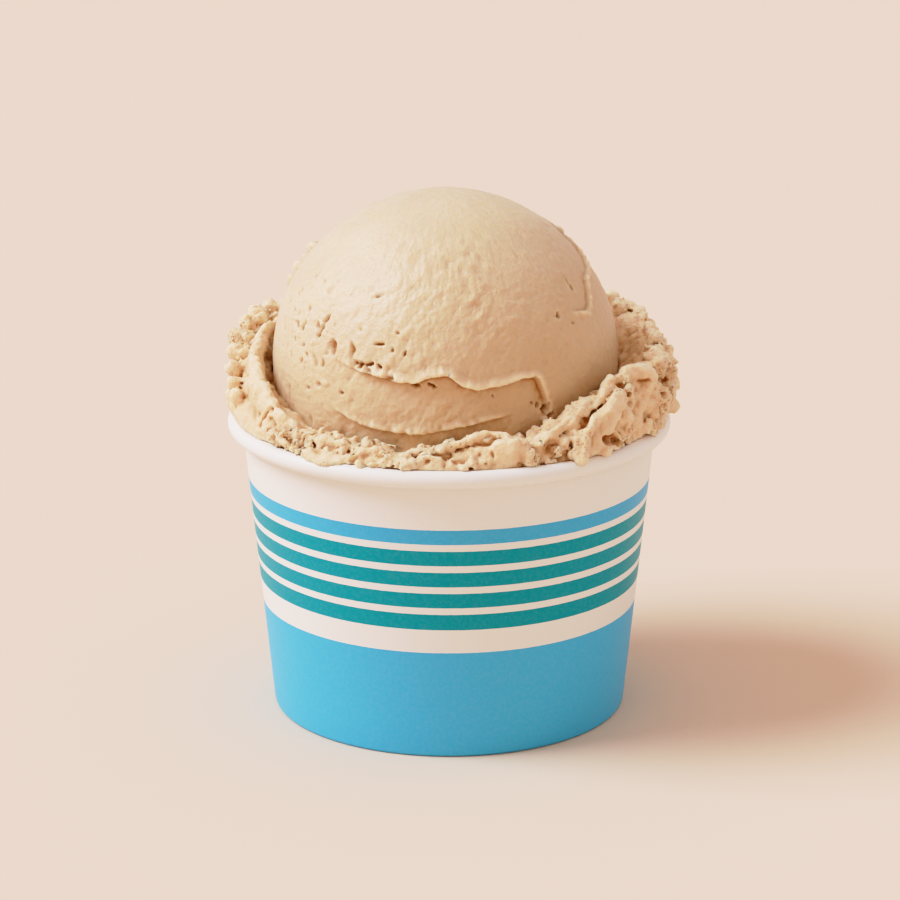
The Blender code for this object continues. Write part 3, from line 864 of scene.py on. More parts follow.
def crumb_place(azimuth, share, lift):
    """A place on the ridge, by its share of the way from groove to toe, lifted outwards off the surface."""
    outline = collar_outline(azimuth)
    index = min(int(share * (len(outline) - 1)), len(outline) - 2)
    (r0, z0), (r1, z1) = outline[index], outline[index + 1]
    length = math.hypot(r1 - r0, z1 - z0) + TINY
    return r0 + lift * (z0 - z1) / length, z0 + lift * (r1 - r0) / length


def scattered(first, last, low_share, high_share, lifts):
    """Random places on the ridge between two angles, one for each lift."""
    azimuths = random.uniform(first, last, len(lifts))
    shares = random.uniform(low_share, high_share, len(lifts))
    radii, heights = np.array([crumb_place(*row) for row in zip(azimuths, shares, lifts)]).T
    turned_by = np.radians(azimuths)
    places = np.column_stack([radii * np.cos(turned_by), radii * np.sin(turned_by), heights])
    return azimuths, radii, heights, places


crumbs_kept = 0
for first, last, count, small, large, low_share, high_share in CRUMBS:
    sizes = small + (large - small) * random.random(count) ** MOSTLY_SMALL
    lifts = random.uniform(*CRUMB_LIFTS, count) * sizes
    azimuths, radii, heights, places = scattered(first, last, low_share, high_share, lifts)
    for number in np.flatnonzero(patches(places, azimuths) > TORN_ENOUGH):
        dab(azimuths[number], radii[number], heights[number], sizes[number],
            random.uniform(*CRUMB_STRETCH, 3), random.uniform(0, 180), blend=0.4)
        crumbs_kept += 1
for azimuth, radius, height, size in LUMPS:
    dab(azimuth, radius, height, size, random.uniform(*LUMP_STRETCH, 3), random.uniform(0, 180), blend=0.5)
tear(0.45, 1.2, 2, crease=0.45, seed=57)
print("crumbs:", crumbs_kept, "lumps:", len(LUMPS))

# %% [markdown]
# ## Smooth faces
#
# Some of the squeezed gelato slid instead of tearing, and its faces are smooth. On the left, a broad pale
# band leans against the ball. On the right, a flat-faced chunk with a bright raised edge leans over the
# rim, and a curled roll lies on the ridge behind it. In front is a rounded fold. They are joined on after
# the crumbs, so that they lie over them.

# %% Band, chunk, fold and roll
BAND = [
    (3, 0.8, 0.15, [(160, 31.2, 63.6, 1.0), (168, 31.4, 63.0, 1.4), (177, 32.0, 61.4, 1.8),
                    (186, 32.6, 59.8, 2.2), (195, 33.0, 58.2, 2.5), (204, 33.6, 56.6, 2.5),
                    (213, 33.9, 55.2, 2.0), (221, 33.4, 53.8, 1.4)]),
]
BAND_SECTION = (0.6, 1.0, 1.2)
CHUNK = [
    (315.5, 35.3, 55.6, 3.5, (0.5, 1.15, 0.85), 42, 0.6), (311.0, 35.4, 53.4, 2.5, (0.5, 1.1, 0.9), 60, 0.6),
    (320.5, 35.0, 58.2, 2.4, (0.5, 1.2, 0.9), 45, 0.6),
]
CHUNK_EDGE = [
    (7, 1.0, 0.4, [(322.0, 35.4, 59.9, 0.6), (315.6, 36.0, 58.4, 0.7), (311.2, 36.2, 56.8, 0.75),
                   (308.0, 36.3, 55.1, 0.75), (306.4, 36.4, 53.4, 0.8)]),
]
FRONT_FOLD = [
    (286.5, 33.9, 53.2, 2.7, (0.62, 1.25, 1.0), 5, 0.5), (280.5, 33.3, 52.7, 1.4, (0.9, 1.0, 1.2), 30, 0.6),
]
CURLED_ROLL = [
    (8, 0.5, 0.2, [(328.5, 33.4, 61.0, 0.9), (332.0, 34.0, 62.2, 1.2), (335.4, 35.1, 61.9, 1.3),
                   (337.8, 35.9, 60.4, 1.2)]),
]

lay_strokes(BAND, BAND_SECTION)
lay_dabs(CHUNK)
lay_strokes(CHUNK_EDGE)
lay_dabs(FRONT_FOLD)
lay_strokes(CURLED_ROLL)
print("smooth faces:", len(SMOOTH_FACES))

# %% [markdown]
# ## Pores and crevices
#
# Air bubbles that burst leave pinholes all over the torn faces, and there are a few deep dark cavities
# where a larger crumb broke away. Crevices part the ridges. All are cut after the crumbs, so that they
# bite into them. A row of pores is (first and last azimuth, number, smallest and largest radius), and a
# cavity is (azimuth, radius, height, size, tilt).

# %% Cut the pores and the crevices
PORES = [
    (140, 196, 110, 0.22, 0.5), (205, 303, 210, 0.18, 0.42), (320, 400, 170, 0.25, 0.6),
    (400, 500, 140, 0.25, 0.6), (304, 320, 14, 0.2, 0.4),
]
PORE_SHARES = (0.2, 0.97)
PORE_LIFTS = (0.1, 0.6)
OFF_SMOOTH_ENOUGH = 0.6
PORE_OUTWARDS, PORE_LENGTHS, PORE_ACROSS = 1.6, (0.9, 1.8), 0.9
CAVITIES = [
    (213.2, 35.4, 56.7, 1.0, 20), (215.6, 35.2, 57.3, 0.75, -40), (211.2, 35.8, 55.3, 0.8, 70),
    (210.4, 36.0, 53.9, 1.0, 80), (214.6, 35.6, 54.9, 0.65, 10), (217.2, 36.6, 51.8, 0.9, 0),
    (221.0, 36.5, 51.7, 0.8, 0), (199.5, 36.4, 60.6, 0.8, 60), (201.0, 36.4, 61.6, 0.7, 80),
    (245.0, 35.8, 52.2, 0.6, 60), (236.2, 34.6, 52.6, 0.4, 0), (226.3, 35.2, 51.9, 0.45, 0),
    (315.4, 36.4, 53.3, 1.1, 10), (313.2, 36.3, 54.0, 0.6, 40), (318.0, 36.5, 52.6, 0.7, 0),
    (324.5, 36.9, 52.0, 0.7, 20), (295.6, 35.8, 52.0, 0.9, 60), (298.0, 34.8, 53.2, 0.6, 60),
    (333.5, 35.8, 60.6, 0.55, 40), (336.0, 37.8, 59.0, 0.6, 0), (334.2, 37.6, 57.2, 0.55, 30),
    (338.5, 38.0, 57.6, 0.6, 0), (340.5, 38.0, 55.8, 0.8, 0), (336.8, 37.8, 55.4, 0.5, 60),
    (275.4, 35.2, 51.4, 0.5, 0), (252.0, 33.4, 52.6, 0.4, 0),
]
CAVITY_STRETCH = (1.5, 1.3, 0.8)
CREVICES = [
    (11, 0.4, 0.5, [(330.5, 36.2, 61.2, 0.8), (329.5, 36.4, 58.4, 0.9), (328.0, 36.6, 55.2, 0.9),
                    (326.0, 36.9, 52.4, 1.1)]),
    (16, 0.4, 0.5, [(318.5, 36.6, 54.6, 0.5), (320.5, 36.6, 56.2, 0.6), (324.0, 36.6, 57.6, 0.6)]),
    (13, 0.3, 0.5, [(307.5, 33.6, 58.8, 0.5), (302.3, 34.4, 56.4, 0.7), (297.4, 35.0, 53.6, 0.7),
                    (295.0, 35.7, 51.9, 0.9)]),
]

for first, last, count, small, large in PORES:
    lifts = random.uniform(*PORE_LIFTS, count)
    azimuths, radii, heights, places = scattered(first, last, *PORE_SHARES, lifts)
    for number in np.flatnonzero(off_smooth_faces(places) > OFF_SMOOTH_ENOUGH):
        size = random.uniform(small, large)
        stretch = (PORE_OUTWARDS, random.uniform(*PORE_LENGTHS), PORE_ACROSS)
        dab(azimuths[number], radii[number], heights[number], size, stretch, random.uniform(0, 180),
            blend=0.15, cut=True)
for azimuth, radius, height, size, tilt in CAVITIES:
    dab(azimuth, radius, height, size, CAVITY_STRETCH, tilt, blend=0.2, cut=True)
lay_strokes(CREVICES, cut=True)
print("pores:", sum(row[2] for row in PORES), "cavities:", len(CAVITIES))

# %% [markdown]
# ## The front lip and the drips
#
# A thin lip curls along the front, with a hollow underneath it. Where gelato has begun to melt, it has
# run onto the rim in smooth drips. These are made after the tearing, so that they stay whole, and only
# get a faint unevenness.

# %% Front lip and drips
UNDER_LIP = [
    (14, 0.3, 0.3, [(256.0, 32.4, 52.0, 0.4), (263.3, 33.1, 52.4, 0.6), (268.9, 33.4, 52.8, 0.7),
                    (272.9, 33.6, 53.6, 0.7), (276.4, 33.3, 54.6, 0.6), (281, 33.2, 55.2, 0.5),
                    (285, 33.3, 55.0, 0.35)]),
]
LIP_AND_DRIPS = [
    (5, 0.5, 0.45, [(253.0, 31.2, 51.6, 0.3), (259.0, 31.4, 52.9, 0.45), (264.4, 31.8, 53.3, 0.5),
                    (269.7, 32.1, 53.8, 0.5), (273.7, 32.2, 54.4, 0.55), (276.6, 32.1, 55.3, 0.6),
                    (280.1, 32.0, 56.0, 0.6), (283.3, 32.2, 56.1, 0.6), (287.0, 32.6, 55.4, 0.55),
                    (290.3, 33.0, 54.4, 0.5)]),
    (15, 0.7, 0.1, [(306.6, 36.0, 53.0, 0.9), (305.6, 36.4, 52.0, 1.15), (305.2, 36.8, 51.3, 1.2)]),
    (9, 0.9, 0.1, [(229.5, 35.9, 51.0, 0.6), (233.2, 36.2, 51.1, 0.95), (236.8, 36.3, 51.0, 1.05),
                   (240.3, 36.0, 51.1, 0.8)]),
    (10, 1.0, 0.1, [(188, 35.0, 53.4, 1.6), (196, 35.2, 53.0, 1.8), (203, 35.1, 52.6, 1.6),
                    (210, 35.2, 51.8, 1.0)]),
]

lay_strokes(UNDER_LIP, cut=True)
lay_strokes(LIP_AND_DRIPS)
roughen(0.09, 0.8, 2, seed=61)

# %% [markdown]
# ## The paper's place
#
# The gelato rests on the rolled rim and against the inside of the wall. What would lie inside the
# paper is cut away last, so that the rim's edge stays crisp under it. A crumb that floats free, or an
# air pocket that is closed all round, is found by growing outwards from the ridge's core and from the
# open air: what neither reaches is emptied or filled.

# %% Cut the collar to the cup
RIM_TOUCH = 0.05
CLEAR_INNER = 34.1
GROWTH_STEPS = 36
LOOSE = 0.1

r_cells, z_cells = np.meshgrid(field_radii, field_heights, indexing="ij")
from_curl = np.hypot(r_cells - CURL_AXIS, z_cells - CURL_HEIGHT)
field = np.maximum(field, (CURL_RADIUS + RIM_TOUCH - from_curl)[None])
outside_wall = np.where(z_cells < CURL_HEIGHT, r_cells - CLEAR_INNER, -1.0).astype(np.float32)
field = np.maximum(field, outside_wall[None])
field[:, [0, -1], :] = 1.0
field[:, :, [0, -1]] = 1.0


def grown(reached, allowed):
    """The allowed cells that are reached from some cells within a number of steps."""
    for _ in range(GROWTH_STEPS):
        wider = reached.copy()
        for axis in range(3):
            wider |= np.roll(reached, 1, axis) | np.roll(reached, -1, axis)
        reached = wider & allowed
    return reached


floating = (field < 0) & ~grown(core & (field < 0), field < 0)
field[floating] = LOOSE
pockets = (field >= 0) & ~grown(open_air & (field >= 0), field >= 0)
field[pockets] = -LOOSE
print("cells of floating crumbs:", int(floating.sum()), "cells of air pockets:", int(pockets.sum()))

# %% [markdown]
# ## Skin of the collar
#
# The surface is where the field is zero. Each cell that the surface passes through gets one point, at
# the mean of the places where its edges cross zero, and each crossed edge joins the four cells round
# it with a quad. This gives even faces and rounds nothing off that the grid can hold. At the end noise
# pushes the points about, which turns round crumbs and even ridges into uneven ones. It fades out at
# the paper, so that nothing is pushed into it.

# %% Turn the field into a mesh
PUSHES = [(3.4, 0.5, 101), (1.3, 0.26, 111)]
EXTRA_BEHIND = 0.7
BEHIND_FROM, BEHIND_FULL = 14.0, 24.0
STILL_AT_PAPER, FREE_OVER = 0.1, 1.2
STILL_BELOW = 50.0


def pushed_about(points):
    """Points shifted by noise of two sizes, more behind than in front, and none near the paper."""
    total = np.zeros_like(points)
    for size, height, seed in PUSHES:
        total += height * np.stack([noise(points, size, seed + n) for n in range(3)], axis=1)
    from_curl = np.hypot(np.hypot(points[:, 0], points[:, 1]) - CURL_AXIS, points[:, 2] - CURL_HEIGHT)
    free = np.clip((from_curl - CURL_RADIUS - STILL_AT_PAPER) / FREE_OVER, 0, 1)
    free *= np.clip(points[:, 2] - STILL_BELOW, 0, 1)
    behind = np.clip((points[:, 1] - BEHIND_FROM) / (BEHIND_FULL - BEHIND_FROM), 0, 1)
    return points + total * (free * (1 + EXTRA_BEHIND * behind))[:, None]


def cell_crossings(cells):
    """Mean crossing place of the surface in each cell, in grid steps."""
    total, crossings = np.zeros((len(cells), 3)), np.zeros(len(cells))
    for corner in np.ndindex(2, 2, 2):
        for axis in range(3):
            if corner[axis]:
                continue
            far = np.array(corner) + np.eye(3, dtype=int)[axis]
            a, b = cells + corner, cells + far
            low = field[a[:, 0] % COLLAR_COLUMNS, a[:, 1], a[:, 2]]
            high = field[b[:, 0] % COLLAR_COLUMNS, b[:, 1], b[:, 2]]
            hit = (low < 0) != (high < 0)
            place = np.array(corner, float)[None].repeat(len(cells), axis=0)
            place[:, axis] = np.where(hit, low / np.where(hit, low - high, 1), 0)
            total[hit] += place[hit]
            crossings += hit
    return cells + total / crossings[:, None]


def crossed_quads(inside, index):
    """Quads round every grid edge that the surface crosses, facing outwards."""
    quads = []
    for axis, (side, other) in enumerate([(1, 2), (2, 0), (0, 1)]):
        ahead = np.roll(inside, -1, axis)
        for leaving in (True, False):
            edges = np.argwhere(inside & ~ahead if leaving else ~inside & ahead)
            corners = []
            for back_side, back_other in [(0, 0), (1, 0), (1, 1), (0, 1)]:
                cell = edges.copy()
                cell[:, side] -= back_side
                cell[:, other] -= back_other
                corners.append(index[cell[:, 0] % COLLAR_COLUMNS, cell[:, 1], cell[:, 2]])
            quads.append(np.column_stack(corners[::-1] if leaving else corners))
    return np.concatenate(quads)


def build_collar():
    """The collar's mesh from its field."""
    inside = field < 0
    filled = sum(
        np.roll(inside, -di, 0)[:, dj:field.shape[1] - 1 + dj, dk:field.shape[2] - 1 + dk].astype(np.int8)
        for di, dj, dk in np.ndindex(2, 2, 2)
    )
    crossed = (filled > 0) & (filled < 8)
    index = np.full(crossed.shape, -1)
    cells = np.argwhere(crossed)
    index[crossed] = np.arange(len(cells))
    places = cell_crossings(cells)
    angle = np.radians(places[:, 0] * COLUMN_ANGLE)
    radius = field_radii[0] + places[:, 1] * STEP
    height = field_heights[0] + places[:, 2] * STEP
    points = np.column_stack([radius * np.cos(angle), radius * np.sin(angle), height])
    return add_mesh("gelato_collar", pushed_about(points), crossed_quads(inside, index).tolist())


# %% [markdown]
# ## Fewer triangles where nothing happens
#
# The field makes equally small faces everywhere, also on smooth folds and on the hidden side against
# the ball. A Decimate modifier merges faces where the surface is nearly flat and keeps the crumbs. Its
# result is made a plain mesh, so that no modifier is left on the piece.

# %% Thin out the collar
COLLAR_TRIANGLES = 196000


def baked(piece):
    """Give the piece the mesh that its modifiers make, and remove them."""
    evaluated = piece.evaluated_get(bpy.context.evaluated_depsgraph_get())
    mesh = bpy.data.meshes.new_from_object(evaluated)
    piece.modifiers.clear()
    piece.data = mesh
    mesh.name = piece.name


collar_piece = build_collar()
thin = collar_piece.modifiers.new("thin", "DECIMATE")
thin.ratio = COLLAR_TRIANGLES / (2 * len(collar_piece.data.polygons))
baked(collar_piece)
collar_piece.data.shade_smooth()
declare(collar_piece, "gelato")

# %% [markdown]
# ## Hollows, edges and torn places
#
# The material paints shade into pits and grooves as a warm brown, and paints light onto thin edges and
# crumbs as a pale cream. For this, each point stores how far it lies below the smoothed surface round it,
# in millimetres: positive in a hollow, negative on an edge. It also stores how torn the gelato is there,
# because torn gelato is grainier than wiped gelato.

# %% Store the hollows and the torn places on both gelato pieces
AVERAGINGS = 14


def mesh_values(items, name, width, kind=float):
    """One property of all points or edges of a mesh, a row for each."""
    values = np.empty(len(items) * width, dtype=kind)
    items.foreach_get(name, values)
    return values.reshape(-1, width)


def store(piece, name, values):
    """Store one number for each point of the piece, for its material to read."""
    piece.data.attributes.new(name, "FLOAT", "POINT").data.foreach_set("value", values)
    print(piece.name, name, np.percentile(values, [2, 50, 98]).round(2))


def mark_hollows(piece):
    """Store on each point its depth below the surface that repeated averaging gives."""
    mesh = piece.data
    count = len(mesh.vertices)
    places, normals = mesh_values(mesh.vertices, "co", 3) / MM, mesh_values(mesh.vertices, "normal", 3)
    a, b = mesh_values(mesh.edges, "vertices", 2, np.int32).T
    degree = np.bincount(a, minlength=count) + np.bincount(b, minlength=count)
    smooth = places.copy()
    for _ in range(AVERAGINGS):
        for axis in range(3):
            near = np.bincount(a, smooth[b, axis], count) + np.bincount(b, smooth[a, axis], count)
            smooth[:, axis] = near / degree
    depth = np.sum((smooth - places) * normals, axis=1)
    store(piece, "hollow", depth)
    return places


mark_hollows(scoop_piece)
collar_places = mark_hollows(collar_piece)
torn_scoop = np.zeros(len(scoop_piece.data.vertices))
torn_scoop[:len(surface)] = np.clip(porous, 0, 1)
store(scoop_piece, "torn", torn_scoop)
turned_round = np.degrees(np.arctan2(collar_places[:, 1], collar_places[:, 0])) % 360
store(collar_piece, "torn", patches(collar_places, turned_round))

# %% [markdown]
# ## Gelato material
#
# Frozen milk, sugar and fat with tiny air bubbles: light enters, scatters a millimetre or two and comes
# out warmer, which softens the shading. Shade and light are also painted into the colour: painted shade
# turns the hollows, and the gaps between torn granules, a warm brown. Painted light makes edges pale, and
# makes the ball paler on its upper left, the side towards the lamp, than low down on the right. The wiped
# ball has a faint wet sheen, and the torn faces are grainier and nearly matt. Three sizes of relief are
# added to the shading: a skin like orange peel about a millimetre across, granules of half a millimetre,
# and ice crystals of a third of a millimetre.

# %% Gelato
# The first colour is painted light for the ball's side towards the lamp; the second is the ball's own
# colour.
PAINTED_LIGHT_BEIGE, WIPED, TORN_BEIGE, DRIFT_BEIGE = "F5E0C2", "D5B893", "F0D2AC", "DFC29F"
# A warm brown painted as shade in hollows and torn gaps, and a cream painted as light on edges.
PAINTED_SHADE_BROWN, PAINTED_EDGE_LIGHT = "BE8650", "F4DFC0"
# A direction near the lamp's, and the distances along it in millimetres over which the ball's painted light
# grows in.
PAINTED_LIGHT_TOWARDS = (-0.66, -0.3, 0.69)
PAINTED_LIGHT_NONE, PAINTED_LIGHT_FULL = 44.0, 80.0
DRIFT_SCALE, PEEL_SCALE, GRANULE_SCALE, CRYSTAL_SCALE = 90.0, 850.0, 1800.0, 2700.0
# Random tone drift, then where painted shade goes in hollows, painted light on edges and painted shade in
# granule gaps.
DRIFT_RANGE, HOLLOW_SHADE_RANGE, EDGE_LIGHT_RANGE, GAP_SHADE_RANGE = (0.4, 1.0), (0.02, 0.4), (-0.05, -0.5), (0.42, 0.2)
GRANULE_DEPTH = 0.3
SCATTER = 0.6
GELATO_SHADER = {
    "Subsurface Radius": (1.0, 0.62, 0.34), "Subsurface Scale": 0.0013, "Sheen Weight": 0.2,
    "Sheen Roughness": 0.45,
}


def gelato_colour(tree, place, torn, granules, plain, lit_beige):
    """Beige with painted light, paler towards the lamp and on its edges, and painted shade, brown in its
    hollows and torn gaps.
    """
    towards = add_node(tree, "ShaderNodeVectorMath", {"operation": "DOT_PRODUCT"},
                       {0: place, 1: PAINTED_LIGHT_TOWARDS})
    hollow = add_node(tree, "ShaderNodeAttribute", {"attribute_name": "hollow"}).outputs["Fac"]
    drift = texture_noise(tree, place, DRIFT_SCALE, 3.0)
    # Painted light: the ball turns paler on the side towards the lamp.
    painted_light = share_between(tree, towards.outputs["Value"], PAINTED_LIGHT_NONE * MM, PAINTED_LIGHT_FULL * MM)
    body = blend_colours(tree, painted_light, plain, lit_beige)
    body = blend_colours(tree, share_between(tree, drift, *DRIFT_RANGE), body, DRIFT_BEIGE)
    # Painted shade in the hollows, then painted light on the edges.
    body = blend_colours(tree, share_between(tree, hollow, *HOLLOW_SHADE_RANGE), body, PAINTED_SHADE_BROWN)
    body = blend_colours(tree, share_between(tree, hollow, *EDGE_LIGHT_RANGE), body, PAINTED_EDGE_LIGHT)
    # Painted shade in the gaps between torn granules.
    gap_shade = share_between(tree, granules, *GAP_SHADE_RANGE)
    torn_gap_shade = add_node(tree, "ShaderNodeMath", {"operation": "MULTIPLY", "use_clamp": True},
                         {0: gap_shade, 1: torn})
    return blend_colours(tree, torn_gap_shade.outputs["Value"], body, PAINTED_SHADE_BROWN)


def gelato_material(name, plain, lit_beige, roughness, depths, scatter):
    """Cold caramel-beige gelato with soft depth, painted light on its lamp side and edges, and painted shade
    in its hollows.
    """
    material, tree, shader = new_material(
        name, {**GELATO_SHADER, "Roughness": roughness, "Subsurface Weight": scatter})
    place = add_node(tree, "ShaderNodeTexCoord").outputs["Object"]
    torn = add_node(tree, "ShaderNodeAttribute", {"attribute_name": "torn"}).outputs["Fac"]
    granules = texture_noise(tree, place, GRANULE_SCALE, 2.0)
    body = gelato_colour(tree, place, torn, granules, plain, lit_beige)
    tree.links.new(body, shader.inputs["Base Color"])
    peel_depth, granule_depth, crystal_depth = depths
    relief = relief_of(tree, texture_noise(tree, place, PEEL_SCALE, 2.0), peel_depth)
    relief = relief_of(tree, granules, granule_depth, relief, torn)
    relief = relief_of(tree, texture_noise(tree, place, CRYSTAL_SCALE, 3.0), crystal_depth, relief)
    tree.links.new(relief, shader.inputs["Normal"])
    return material


wiped = gelato_material("gelato wiped smooth", WIPED, PAINTED_LIGHT_BEIGE, 0.42, (0.2, GRANULE_DEPTH, 0.1), SCATTER)
torn = gelato_material("gelato torn", TORN_BEIGE, TORN_BEIGE, 0.55, (0.3, GRANULE_DEPTH, 0.14), SCATTER)
scoop_piece.data.materials.append(wiped)
collar_piece.data.materials.append(torn)

# %% [markdown]
# ## Loose grains
#
# Tearing leaves fine grains lying on the broken faces. They repeat by the thousand, so a Geometry Nodes
# tree scatters them: it drops points on the collar where it is torn and clear of the ball, puts a small
# ball of uneven size on each, and pushes its points about. Density, sizes and seed are named inputs.
# Their material has the collar's colour, but no light scatters inside them: half of each grain is sunk
# into the collar, and light lost down there would leave it grey.

# %% Scatter the grains
GRAIN_DENSITY = 0.3
GRAIN_SIZES = (0.12, 0.34)
GRAIN_SEED = 5
CLEAR_OF_BALL = BALL_RADIUS + 0.4
LOWEST_GRAIN = 50.8
GRAINS_FROM, GRAINS_FULL = 0.5, 1.2
UNEVEN_SCALE = 3000.0
FULL_TURN = (6.3, 6.3, 6.3)
MIDDLE_GREY = (0.5, 0.5, 0.5)


def new_tree(name, inputs):
    """An empty Geometry Nodes tree with named inputs, and those inputs' sockets inside it."""
    tree = bpy.data.node_groups.new(name, "GeometryNodeTree")
    for label, kind in inputs:
        tree.interface.new_socket(label, in_out="INPUT", socket_type="NodeSocket" + kind)
    tree.interface.new_socket("Result", in_out="OUTPUT", socket_type="NodeSocketGeometry")
    return tree, add_node(tree, "NodeGroupInput").outputs


def finish_tree(tree, geometry, material):
    """End a tree: make instances real and give everything its material."""
    real = add_node(tree, "GeometryNodeRealizeInstances", inputs={"Geometry": geometry})
    coated = add_node(tree, "GeometryNodeSetMaterial",
                      inputs={"Geometry": real.outputs["Geometry"], "Material": material})
    add_node(tree, "NodeGroupOutput", inputs={"Result": coated.outputs["Geometry"]})


def run_tree(piece, tree, values):
    """Run a tree on a piece and give the piece the mesh that comes out."""
    modifier = piece.modifiers.new(tree.name, "NODES")
    modifier.node_group = tree
    identifiers = {item.name: item.identifier for item in tree.interface.items_tree}
    for label, value in values.items():
        modifier[identifiers[label]] = value
    baked(piece)
    piece.data.shade_smooth()


def grain_tree():
    """Geometry Nodes: uneven grains on the torn part of a surface."""
    tree, given = new_tree("loose grains", [
        ("Surface", "Geometry"), ("Density", "Float"), ("Smallest", "Float"), ("Largest", "Float"),
        ("Seed", "Int"), ("Material", "Material"),
    ])
    place = add_node(tree, "GeometryNodeInputPosition").outputs["Position"]
    from_ball = add_node(tree, "ShaderNodeVectorMath", {"operation": "DISTANCE"},
                         {0: place, 1: BALL_CENTRE * MM})
    clear = add_node(tree, "FunctionNodeCompare", {"operation": "GREATER_THAN"},
                     {"A": from_ball.outputs["Value"], "B": CLEAR_OF_BALL * MM})
    height = add_node(tree, "ShaderNodeSeparateXYZ", inputs={"Vector": place}).outputs["Z"]
    above = computed(tree, "GREATER_THAN", height, LOWEST_GRAIN * MM)
    torn = add_node(tree, "GeometryNodeInputNamedAttribute", {"data_type": "FLOAT"}, {"Name": "torn"})
    share = share_between(tree, torn.outputs["Attribute"], GRAINS_FROM, GRAINS_FULL)
    dense = computed(tree, "MULTIPLY", computed(tree, "MULTIPLY", share, given["Density"]), above)
    points = add_node(tree, "GeometryNodeDistributePointsOnFaces", inputs={
        "Mesh": given["Surface"], "Selection": clear.outputs["Result"], "Density": dense,
        "Seed": given["Seed"],
    })
    ball = add_node(tree, "GeometryNodeMeshIcoSphere", inputs={"Radius": 1.0, "Subdivisions": 2})
    turn = add_node(tree, "FunctionNodeRandomValue", {"data_type": "FLOAT_VECTOR"},
                    {"Max": FULL_TURN, "Seed": given["Seed"]})
    size = add_node(tree, "FunctionNodeRandomValue", {"data_type": "FLOAT_VECTOR"},
                    {"Min": given["Smallest"], "Max": given["Largest"], "Seed": given["Seed"]})
    placed = add_node(tree, "GeometryNodeInstanceOnPoints", inputs={
        "Points": points.outputs["Points"], "Instance": ball.outputs["Mesh"],
        "Rotation": turn.outputs["Value"], "Scale": size.outputs["Value"],
    })
    real = add_node(tree, "GeometryNodeRealizeInstances", inputs={"Geometry": placed.outputs["Instances"]})
    uneven = add_node(tree, "ShaderNodeTexNoise",
                      inputs={"Vector": place, "Scale": UNEVEN_SCALE, "Detail": 1.0})
    centred = add_node(tree, "ShaderNodeVectorMath", {"operation": "SUBTRACT"},
                       {0: uneven.outputs["Color"], 1: MIDDLE_GREY})
    push = add_node(tree, "ShaderNodeVectorMath", {"operation": "SCALE"},
                    {0: centred.outputs["Vector"], "Scale": given["Largest"]})
    pushed = add_node(tree, "GeometryNodeSetPosition",
                      inputs={"Geometry": real.outputs["Geometry"], "Offset": push.outputs["Vector"]})
    finish_tree(tree, pushed.outputs["Geometry"], given["Material"])
    return tree


loose = gelato_material("gelato in loose grains", TORN_BEIGE, TORN_BEIGE, 0.6, (0.03, 0.03, 0.02), 0.0)
grain_piece = bpy.data.objects.new("gelato_grains", collar_piece.data.copy())
scene.collection.objects.link(grain_piece)
run_tree(grain_piece, grain_tree(), {
    "Density": GRAIN_DENSITY / MM**2, "Smallest": GRAIN_SIZES[0] * MM, "Largest": GRAIN_SIZES[1] * MM,
    "Seed": GRAIN_SEED, "Material": loose,
})
declare(grain_piece, "gelato")

# %% [markdown]
# ## Printed paper material
#
# The board is off-white and lightly coated. Bands of sky blue and teal are printed round the wall: one
# blue stripe, four teal stripes with narrow gaps, and a blue field down to the foot. A press never lays
# ink quite evenly, so the ink has fine specks, and the edges of the bands waver by a few hundredths of
# a millimetre. A band is (low height, high height, ink), cut by height on the cup in millimetres.

# %% Cup board with its print
INK_BANDS = [
    (0.0, 18.9, "4FBDEC"), (23.0, 25.7, "00A0B0"), (26.8, 29.4, "00A0B0"), (30.5, 33.1, "00A0B0"),
    (34.2, 36.8, "00A0B0"), (37.9, 40.6, "4CB8E6"),
]
BOARD = "F5F2EE"
BOARD_SHADER = {"Base Color": colour(BOARD), "Roughness": 0.4, "Specular IOR Level": 0.3}
TOOTH_SCALE, TOOTH_DEPTH, TOOTH_STRENGTH = 1800.0, 0.05, 0.4
PRINT_TOP = 50.0
WAVER_SCALE, WAVER = 900.0, 0.0016
SPECKS_FROM, SPECKS_FULL, SPECKS_MOST = 0.4, 0.85, 0.05


def board_shader(name):
    """Coated cup board. It gives the eye a plain off-white sheet with a soft sheen and a faint tooth."""
    material, tree, shader = new_material(name, BOARD_SHADER)
    place = add_node(tree, "ShaderNodeTexCoord").outputs["Object"]
    fibres = texture_noise(tree, place, TOOTH_SCALE, 4.0)
    tree.links.new(relief_of(tree, fibres, TOOTH_DEPTH, strength=TOOTH_STRENGTH), shader.inputs["Normal"])
    return material, tree, shader, place, fibres


def printed_board(name):
    """The same board with bands of ink, which are cut by height and speckled where the ink is thin."""
    material, tree, shader, place, fibres = board_shader(name)
    waver = texture_noise(tree, place, WAVER_SCALE, 2.0)
    height = add_node(tree, "ShaderNodeSeparateXYZ", inputs={"Vector": place}).outputs["Z"]
    scaled = computed(tree, "MULTIPLY", height, 1 / (PRINT_TOP * MM))
    shaken = computed(tree, "MULTIPLY_ADD", waver, WAVER, scaled)
    bands = add_node(tree, "ShaderNodeValToRGB", inputs={"Fac": shaken})
    ramp = bands.color_ramp
    ramp.interpolation = "CONSTANT"
    ramp.elements.remove(ramp.elements[1])
    ramp.elements[0].color = colour(INK_BANDS[0][2])
    for low, high, ink in INK_BANDS:
        if low > 0:
            ramp.elements.new(low / PRINT_TOP).color = colour(ink)
        ramp.elements.new(high / PRINT_TOP).color = colour(BOARD)
    specks = share_between(tree, fibres, SPECKS_FROM, SPECKS_FULL, SPECKS_MOST)
    tree.links.new(blend_colours(tree, specks, bands.outputs["Color"], BOARD), shader.inputs["Base Color"])
    return material


print("bands of ink:", len(INK_BANDS))

